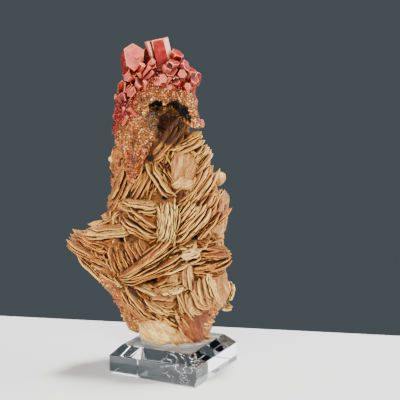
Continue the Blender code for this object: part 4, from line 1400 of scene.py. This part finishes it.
def filler_blades(dice):
    """Short blades between the front fans, running as the nearest fan does."""
    made = 0
    while made < FILLERS:
        x, z = dice.uniform(*FILLER_SIDES), dice.uniform(*FILLER_HEIGHTS)
        y = front_wall(x, z)
        if y is None or under_crust(x, z) or in_hole(x, z):
            continue
        if grain_share(Vector((x, y, z))) == 1.0:
            continue
        made += 1
        near = min(FRONT_FANS, key=lambda f: math.hypot(f.x - x, f.z - z) / (f.length + 4))
        turn = near.turn + dice.gauss(0, 12)
        tilt = near.tilt + dice.gauss(0, 14)
        depth, length = dice.uniform(5, 8), dice.uniform(3.5, 9)
        middle = Vector((x, y + depth / 2 - dice.uniform(0.6, 2.2), z))
        yield one_blade(
            middle, turn, tilt, Matrix.Identity(3), (length, depth, dice.uniform(0.4, 0.7)),
            dice.choice(COARSE), dice.random(), near.stain * dice.uniform(0.5, 1.3),
            near.pale * dice.uniform(0.3, 1.0),
        )


def points_mesh(name, placed):
    """Loose points that carry what the placing tree reads from them."""
    mesh = bpy.data.meshes.new(name)
    mesh.from_pydata([spot.place for spot in placed], [], [])
    for label, kind in (("turn", "FLOAT_VECTOR"), ("size", "FLOAT_VECTOR"), ("variant", "INT"),
                        ("tone", "FLOAT"), ("stain", "FLOAT"), ("pale", "FLOAT")):
        layer = mesh.attributes.new(label, kind, "POINT")
        for spot, item in zip(placed, layer.data):
            value = getattr(spot, label)
            if kind == "FLOAT_VECTOR":
                item.vector = value
            else:
                item.value = value
    return mesh


def lay_blades(name, placed, variants, material):
    look = bpy.context.scene.specimen_matrix
    piece = grown(name, points_mesh(name, placed), "Set variants on points", {
        "Variants": variants, "Material": material, "Body": bpy.data.objects["barite_body"],
        "Wave size": look.wave_size, "Wave height": look.wave_height,
        "Nick size": look.nick_size, "Nick height": look.nick_height,
    })
    piece.data.set_sharp_from_angle(angle=math.radians(SHARP_ANGLE))
    hand_over(piece, "barite", "barite_matrix")


# Crystals

def hexagon(radius, squeeze, dice, uneven=0.1):
    """The corners of an uneven hexagon, the first at the top."""
    reach = [math.cos(math.radians(30)) * (1 + dice.uniform(-uneven, uneven)) for _ in range(6)]
    for side in range(6):
        angle = math.radians(60 + 60 * side)
        near, far = reach[side], reach[(side + 1) % 6]
        along_side = (far - near * 0.5) / math.sin(math.radians(60))
        yield (
            radius * squeeze * (near * math.cos(angle) - along_side * math.sin(angle)),
            radius * (near * math.sin(angle) + along_side * math.cos(angle)),
        )


def pointing(facing, climb):
    """The direction that lies facing degrees round from the front and climb degrees up."""
    facing, climb = math.radians(facing), math.radians(climb)
    return Vector((
        math.sin(facing) * math.cos(climb), -math.cos(facing) * math.cos(climb), math.sin(climb)))


def add_crystal(body, crystal, dice, bevel):
    """Adds a hexagonal crystal with worn edges, and marks its end faces and its edges."""
    def mark(face, shade, cap, edge=0.0):
        for label, value in (("tone", tone), ("shade", shade), ("cap", cap), ("edge", edge)):
            face[body.faces.layers.float[label]] = value

    base_layer = body.verts.layers.float["base"]
    tone = dice.random()
    frosted_end = 1.0 if crystal.shade > 0.45 else dice.choice((0.0, 0.15, 0.4))
    corners = [
        (x * (1 + crystal.taper * min(0.0, y / crystal.radius)), y)
        for x, y in hexagon(crystal.radius, crystal.squeeze, dice, 0.14)
    ]
    rings = [
        [body.verts.new((x, y, crystal.length * (share - 0.5))) for x, y in corners]
        for share in (0, 0.45, 0.75, 1)
    ]
    faces = [body.faces.new(reversed(rings[0])), body.faces.new(rings[-1])]
    worn_edges = {edge for face in faces for edge in face.edges}
    for face in faces:
        mark(face, crystal.shade, frosted_end)
    for side in range(6):
        after = (side + 1) % 6
        shade = min(1.0, crystal.shade + dice.uniform(-0.4, 0.4))
        frosted_side = dice.uniform(0.4, 1.0) * (dice.random() < crystal.frost)
        # The bright side gets the palest shade: a painted highlight.
        if side == crystal.bright:
            shade, frosted_side = 1.1, 1.0
        for lower, upper in zip(rings, rings[1:]):
            face = body.faces.new((lower[side], lower[after], upper[after], upper[side]))
            mark(face, shade, frosted_side)
            worn_edges.add(body.edges.get((lower[side], upper[side])))
            faces.append(face)
    verts = {vert for face in faces for vert in face.verts}
    worn = bmesh.ops.bevel(
        body, geom=list(worn_edges), offset=min(bevel, crystal.radius * 0.09), segments=2,
        profile=0.6, affect="EDGES", clamp_overlap=True,
    )
    for face in worn["faces"]:
        mark(face, crystal.shade, 0.0, edge=1.0)
    verts = {vert for vert in verts if vert.is_valid}
    verts.update(vert for face in worn["faces"] for vert in face.verts)
    axis = pointing(crystal.facing, crystal.climb)
    turned = axis.to_track_quat("Z", "Y").to_matrix() @ Matrix.Rotation(
        math.radians(crystal.twist), 3, "Z"
    )
    end = Vector((crystal.x, crystal.y, crystal.z)) - axis * (crystal.length / 2)
    for vert in verts:
        # base runs from 1 at the crystal's foot to 0 at its end face; the material paints shade with
        # it.
        vert[base_layer] = 0.5 - vert.co.z / crystal.length
        vert.co = (turned @ vert.co + end) * MM


def bed_point(levels, z, heading):
    """A point of a crust's wall in the direction of heading, degrees from the front."""
    angle = math.radians(heading - 90)
    return wall_point(levels, z, angle, CRUST_LUMP, CRUST_LUMP_SIZE, lean=CRUST_LEAN)


def standing_crystal(wall, facing, climb, radius, stand, length, twist, squeeze, shade):
    """A crystal whose end face stands that far out of the wall."""
    end = wall + stand * pointing(facing, climb)
    return Crystal(*end, facing, climb, radius, length, twist, squeeze, shade)


def crown_back_crystals():
    """Large crystals over the top, the sides and the back of the crown."""
    dice = random.Random(CROWN_BACK_SEED)
    for number in range(CROWN_BACK_CRYSTALS):
        heading = CROWN_BACK_START + CROWN_BACK_ARC * (number + 0.5) / CROWN_BACK_CRYSTALS
        heading += dice.uniform(-6, 6)
        z = CROWN_BACK_HEIGHTS[number % 4] + dice.uniform(-1, 1)
        wall = bed_point(BED_LEVELS, z, heading)
        radius = dice.uniform(*CROWN_BACK_RADII)
        climb = max(0.0, (z - 88) * 6) + dice.uniform(-15, 15)
        stand = radius * dice.uniform(0.9, 1.7)
        facing = heading + dice.uniform(-22, 22)
        twist = dice.uniform(0, 60)
        length, squeeze, shade = stand + radius * 1.6, dice.uniform(0.8, 1), dice.uniform(0, 0.6)
        yield standing_crystal(wall, facing, climb, radius, stand, length, twist, squeeze, shade)


def middle_crystals():
    """Crystals of middling size between the large ones, all round the crown."""
    dice = random.Random(MIDDLE_SEED)
    for number in range(MIDDLE_CRYSTALS):
        heading = math.degrees(number * GOLDEN) % 360
        share = (number + 0.5) / MIDDLE_CRYSTALS
        low = next(height for limit, height in MIDDLE_LOWEST if heading <= limit)
        z = low + (MIDDLE_TOP - low) * share + dice.uniform(-0.8, 0.8)
        wall = bed_point(BED_LEVELS, z, heading)
        radius = 0.45 + 1.4 * dice.random() ** 2
        climb = (z - 84) * 5 + dice.uniform(-25, 35)
        facing = heading + dice.uniform(-65, 65)
        stand = radius * dice.uniform(0.5, 1.9)
        twist = dice.uniform(0, 60)
        length = stand + min(1.4, radius * 2)
        squeeze, shade = dice.uniform(0.7, 1), 0.85 * dice.random() ** 1.5
        yield standing_crystal(wall, facing, climb, radius, stand, length, twist, squeeze, shade)


def small_prism_meshes():
    """Unit hexagonal prisms with cut corners, for the druse."""
    made = []
    for number, (top, cut) in enumerate(((1.0, 0.25), (0.86, 0.4), (0.7, 0.15), (0.95, 0.6))):
        body = bmesh.new()
        corners = [(math.cos(math.tau * side / 6), math.sin(math.tau * side / 6))
                   for side in range(6)]
        loops = [
            [body.verts.new((radius * x, radius * y, z)) for x, y in corners]
            for radius, z in ((0.9, -1.0), (1.0, 1.0 - cut), (top * 0.72, 1.0))
        ]
        add_tube(body, loops)
        made.append(body_mesh(f"small_prism_{number}", body))
    return made


def grain_meshes():
    """Unit rough grains."""
    made = []
    for number in range(4):
        body = bmesh.new()
        bmesh.ops.create_icosphere(body, subdivisions=1, radius=1.0)
        for vert in body.verts:
            vert.co *= 1 + 0.4 * noise.noise(vert.co * 1.7 + Vector((number * 9, 0, 0)))
        made.append(body_mesh(f"grain_{number}", body))
    return made


def grain_share(spot):
    """Grains grow thickly low down on both sides and under the curtain, and sparsely elsewhere."""
    if in_cave(spot):
        return 0.0
    if any(in_box(spot, low, high) for low, high in GRANULAR_ZONES):
        return 1.0
    return 0.06 if spot.y < -3 else 0.5


def in_cave(spot):
    """Whether a place lies on the wall of the cave behind its mouth, which is painted dark as shade.
    """
    if spot.z < DARK_LOW - DARK_FALL * max(0.0, spot.x - DARK_BEND):
        return in_hole(spot.x, spot.z) and spot.y < HOLE_MIDDLE + HOLE_DEPTH + 1
    return spot.y > MOUTH_CURVE * abs(spot.x) + MOUTH and in_hollow(spot)


def in_hollow(spot):
    """Whether a place is in the upper part of the cave or its wall."""
    return any(
        Vector((a - b) / c for a, b, c in zip(spot, centre, half_sizes)).length < 1.15
        for centre, half_sizes in CAVE_LUMPS[:3]
    )


def druse_share(spot):
    """The druse leaves the dark cave bare."""
    return 0.0 if in_cave(spot) else 1.0


def write_shares(mesh, **shares):
    """Writes a named value at each point of the mesh, from its function of the place in mm."""
    for label, share_at in shares.items():
        layer = mesh.attributes.new(label, "FLOAT", "POINT")
        for vert, item in zip(mesh.vertices, layer.data):
            item.value = share_at(vert.co / MM)


# Operators

class SPECIMEN_OT_groups(bpy.types.Operator):
    """Build the shared shader and Geometry Nodes groups"""

    bl_idname = "specimen.groups"
    bl_label = "Shared node groups"

    def execute(self, context):
        grain_group()
        crevice_group()
        mark_crevices_tree()
        place_variants_tree()
        scatter_tree()
        return {"FINISHED"}


class SPECIMEN_OT_matrix_body(bpy.types.Operator):
    """Build the granular barite body and its grains"""

    bl_idname = "specimen.matrix_body"
    bl_label = "Barite body"

    def execute(self, context):
        look = context.scene.specimen_matrix
        body = bmesh.new()
        add_stack(body, CORE_LEVELS, 60, 80, CORE_LUMP, CORE_LUMP_SIZE, grow=-CORE_SINK)
        piece = remeshed_body("barite_body", body, look.body_voxel, BODY_NOISE)
        piece.data.materials.append(body_material())
        write_shares(piece.data, grow=grain_share, cave=in_cave)
        shapes = variant_collection("grain_shapes", grain_meshes())
        grains = grown("barite_grains", piece.data.copy(), "Grow on a surface", {
            "Variants": shapes, "Material": grain_material(), "Spacing": look.grain_spacing,
            "Most per area": 1.6e6, "Radius": 0.00062, "Smallest": 0.3, "Length": 0.9,
            "Slant": 0.6, "Seed": GRAIN_SEED,
        })
        remove_variants(shapes)
        hand_over(piece, "barite", "barite_matrix")
        hand_over(grains, "barite", "barite_matrix")
        return {"FINISHED"}


class SPECIMEN_OT_blades(bpy.types.Operator):
    """Build the barite blades of the front, the sides and the back"""

    bl_idname = "specimen.blades"
    bl_label = "Barite blades"

    def execute(self, context):
        dice = random.Random(BACK_SEED)
        shapes = variant_collection("blade_shapes", blade_meshes(dice))
        material = blade_material()
        front = [
            blade for fan in FRONT_FANS for blade in fan_blades(fan, 0, FINE, dice)
            if not crosses_hole(blade)
        ]
        high = [blade for blade in front if blade.place.z > MIDDLE_HEIGHT * MM]
        low = [blade for blade in front if blade.place.z <= MIDDLE_HEIGHT * MM]
        lay_blades("barite_upper_blades", high, shapes, material)
        lay_blades("barite_lower_blades", low, shapes, material)
        fillers = list(filler_blades(dice))
        lay_blades("barite_short_blades", fillers, shapes, material)
        sides = [
            *side_fans(BACK_ANGLES, BACK_HEIGHTS, BACK_SEED, BACK_STAND, (5, 6), (11, 15), 18),
            *side_fans(INFILL_ANGLES, INFILL_HEIGHTS, INFILL_SEED, 0.2, (3, 4), (6, 11), 10),
        ]
        back = [
            blade for fan, heading in sides for blade in fan_blades(fan, heading, COARSE, dice)
            if not in_box(blade.place / MM, *BEHIND_CAVE)
        ]
        lumps = new_piece("barite_lumps", lump_mesh("barite_lumps"), material)
        hand_over(lumps, "barite", "barite_matrix")
        half = len(back) // 2
        lay_blades("barite_side_blades", back[:half], shapes, material)
        lay_blades("barite_back_blades", back[half:], shapes, material)
        remove_variants(shapes)
        return {"FINISHED"}


class SPECIMEN_OT_crust(bpy.types.Operator):
    """Build the crystal crust, its curtain and rim, and the druse on them"""

    bl_idname = "specimen.crust"
    bl_label = "Crystal crust"

    def execute(self, context):
        look = context.scene.specimen_crystals
        body = bmesh.new()
        for levels in (BED_LEVELS, CURTAIN_LEVELS, RIM_LEVELS):
            add_stack(body, levels, 48, 40, CRUST_LUMP, CRUST_LUMP_SIZE, lean=CRUST_LEAN)
        crust = remeshed_body("vanadinite_crust", body, look.crust_voxel, CRUST_NOISE)
        crust.data.materials.append(crust_material())
        write_shares(crust.data, grow=druse_share, cave=in_cave)
        shapes = variant_collection("druse_shapes", small_prism_meshes())
        druse = grown("vanadinite_druse", crust.data.copy(), "Grow on a surface", {
            "Variants": shapes, "Material": druse_material(), "Spacing": look.druse_spacing,
            "Most per area": 5e6, "Radius": look.druse_radius, "Smallest": 0.35, "Length": 1.5,
            "Slant": 0.8, "Seed": DRUSE_SEED,
        })
        remove_variants(shapes)
        hand_over(crust, "vanadinite", "vanadinite_crystals")
        hand_over(druse, "vanadinite", "vanadinite_crystals")
        return {"FINISHED"}


class SPECIMEN_OT_crystals(bpy.types.Operator):
    """Build the large and middling crystals of the crown"""

    bl_idname = "specimen.crystals"
    bl_label = "Large crystals"

    def execute(self, context):
        look = context.scene.specimen_crystals
        dice = random.Random(MIDDLE_SEED)
        body = bmesh.new()
        for label in ("cap", "edge", "tone", "shade"):
            body.faces.layers.float.new(label)
        body.verts.layers.float.new("base")
        for crystal in (*LARGE_CRYSTALS, *crown_back_crystals(), *middle_crystals()):
            if not in_hollow(Vector(crystal[:3])):
                add_crystal(body, crystal, dice, look.edge_bevel / MM)
        piece = grown(
            "vanadinite_large_crystals", body_mesh("vanadinite_large_crystals", body),
            "Mark crevices",
            {"Material": crystal_material(), "Around": bpy.data.objects["vanadinite_druse"]},
        )
        hand_over(piece, "vanadinite", "vanadinite_crystals")
        return {"FINISHED"}


class SPECIMEN_OT_block(bpy.types.Operator):
    """Build the clear block and the glue"""

    bl_idname = "specimen.block"
    bl_label = "Clear block"

    def execute(self, context):
        look = context.scene.specimen_block
        body = bmesh.new()
        bmesh.ops.create_cube(body, size=1.0)
        for vert in body.verts:
            vert.co = Vector((
                vert.co.x * BLOCK_SIDE, vert.co.y * BLOCK_SIDE, (vert.co.z + 0.5) * BLOCK_HEIGHT
            ))
        top = [e for e in body.edges if all(v.co.z > BLOCK_HEIGHT / 2 for v in e.verts)]
        bmesh.ops.bevel(body, geom=top, offset=BLOCK_BEVEL, segments=1, affect="EDGES", profile=0.5)
        bmesh.ops.bevel(
            body, geom=body.edges[:], offset=look.edge_bevel / MM, segments=2, affect="EDGES",
            profile=0.5,
        )
        turn = Matrix.Rotation(math.radians(BLOCK_TURN), 4, "Z") @ Matrix.Scale(MM, 4)
        bmesh.ops.transform(body, matrix=turn, verts=body.verts)
        block = new_piece("clear_block", body_mesh("clear_block", body), acrylic_material())
        hand_over(block, "clear_acrylic", "display_block")
        self.add_glue(look)
        return {"FINISHED"}

    def add_glue(self, look):
        foot = CORE_LEVELS[0]
        low, high = BLOCK_HEIGHT - 0.05, BLOCK_HEIGHT + look.glue_height / MM
        puddle = [
            Level(z, foot.left - out, foot.right + out, foot.front - out, foot.back + out)
            for z, out in zip((low, (low + high) / 2, high), GLUE_SPREADS)
        ]
        body = bmesh.new()
        add_stack(body, puddle, 90, 10, 0.5, 2.0)
        puddle_mesh = body_mesh("glue_puddle", body, smooth=True)
        glue = new_piece("glue_puddle", puddle_mesh, glue_material())
        hand_over(glue, "clear_glue", "clear_glue")


class SPECIMEN_OT_stage(bpy.types.Operator):
    """Set up the floor, the lights, the surroundings and the camera"""

    bl_idname = "specimen.stage"
    bl_label = "Stage"

    def execute(self, context):
        look = context.scene.specimen_stage
        self.add_floor(look)
        for name, place, size, watts in LIGHTS:
            self.add_light(name, Vector(place), size, watts)
        self.add_camera(context.scene)
        world = bpy.data.worlds.new("Surroundings")
        world.use_nodes = True
        background = world.node_tree.nodes["Background"]
        background.inputs["Color"].default_value = colour_of(look.room_colour)
        context.scene.world = world
        return {"FINISHED"}

    def add_floor(self, look):
        body = bmesh.new()
        bmesh.ops.create_grid(body, x_segments=1, y_segments=1, size=look.floor_side / 2)
        turn = Matrix.Rotation(math.radians(FLOOR_TURN), 3, "Z")
        for vert in body.verts:
            vert.co.y -= look.floor_side / 2
            vert.co = turn @ vert.co + Vector((0, look.floor_back, FLOOR_DROP))
        floor = new_piece("pale_floor", body_mesh("pale_floor", body), floor_material())
        floor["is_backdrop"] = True

    def add_light(self, name, place, size, watts):
        light = bpy.data.lights.new(name, "AREA")
        light.energy = watts
        light.size = size
        lamp = bpy.data.objects.new(name, light)
        lamp.location = place
        lamp.rotation_euler = (Vector(LIT_POINT) - place).to_track_quat("-Z", "Y").to_euler()
        bpy.context.scene.collection.objects.link(lamp)

    def add_camera(self, scene):
        lens = bpy.data.cameras.new("camera")
        lens.lens = LENS_LENGTH
        lens.clip_start = 0.01
        camera = bpy.data.objects.new("camera", lens)
        camera.location = CAMERA_PLACE
        camera.rotation_euler = (math.radians(90 - CAMERA_DIP), 0, 0)
        scene.collection.objects.link(camera)
        scene.camera = camera


class SPECIMEN_PT_pieces(bpy.types.Panel):
    """The specimen's pieces, in the 3D view's sidebar"""

    bl_label = "Vanadinite Specimen"
    bl_space_type = "VIEW_3D"
    bl_region_type = "UI"
    bl_category = "Specimen"

    def draw(self, context):
        for operator in OPERATORS:
            self.layout.operator(operator.bl_idname)


SETTINGS = {
    "specimen_matrix": MatrixSettings,
    "specimen_crystals": CrystalSettings,
    "specimen_block": BlockSettings,
    "specimen_stage": StageSettings,
}
OPERATORS = (
    SPECIMEN_OT_groups,
    SPECIMEN_OT_stage,
    SPECIMEN_OT_block,
    SPECIMEN_OT_matrix_body,
    SPECIMEN_OT_blades,
    SPECIMEN_OT_crust,
    SPECIMEN_OT_crystals,
)


def register():
    for group in (*SETTINGS.values(), *OPERATORS, SPECIMEN_PT_pieces):
        bpy.utils.register_class(group)
    for name, group in SETTINGS.items():
        setattr(bpy.types.Scene, name, PointerProperty(type=group))


def unregister():
    for name in SETTINGS:
        delattr(bpy.types.Scene, name)
    for group in (SPECIMEN_PT_pieces, *OPERATORS, *SETTINGS.values()):
        bpy.utils.unregister_class(group)


def write_sizes():
    boxes = {"cad": CAD_BOX, "visual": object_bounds()}
    {name: [list(corner) for corner in box] for name, box in boxes.items()}


def main():
    register()
    bpy.ops.specimen.groups()
    bpy.ops.specimen.stage()
    bpy.ops.specimen.block()
    bpy.ops.specimen.matrix_body()
    bpy.ops.specimen.blades()
    bpy.ops.specimen.crust()
    bpy.ops.specimen.crystals()
    write_sizes()


if __name__ == "__main__":
    main()
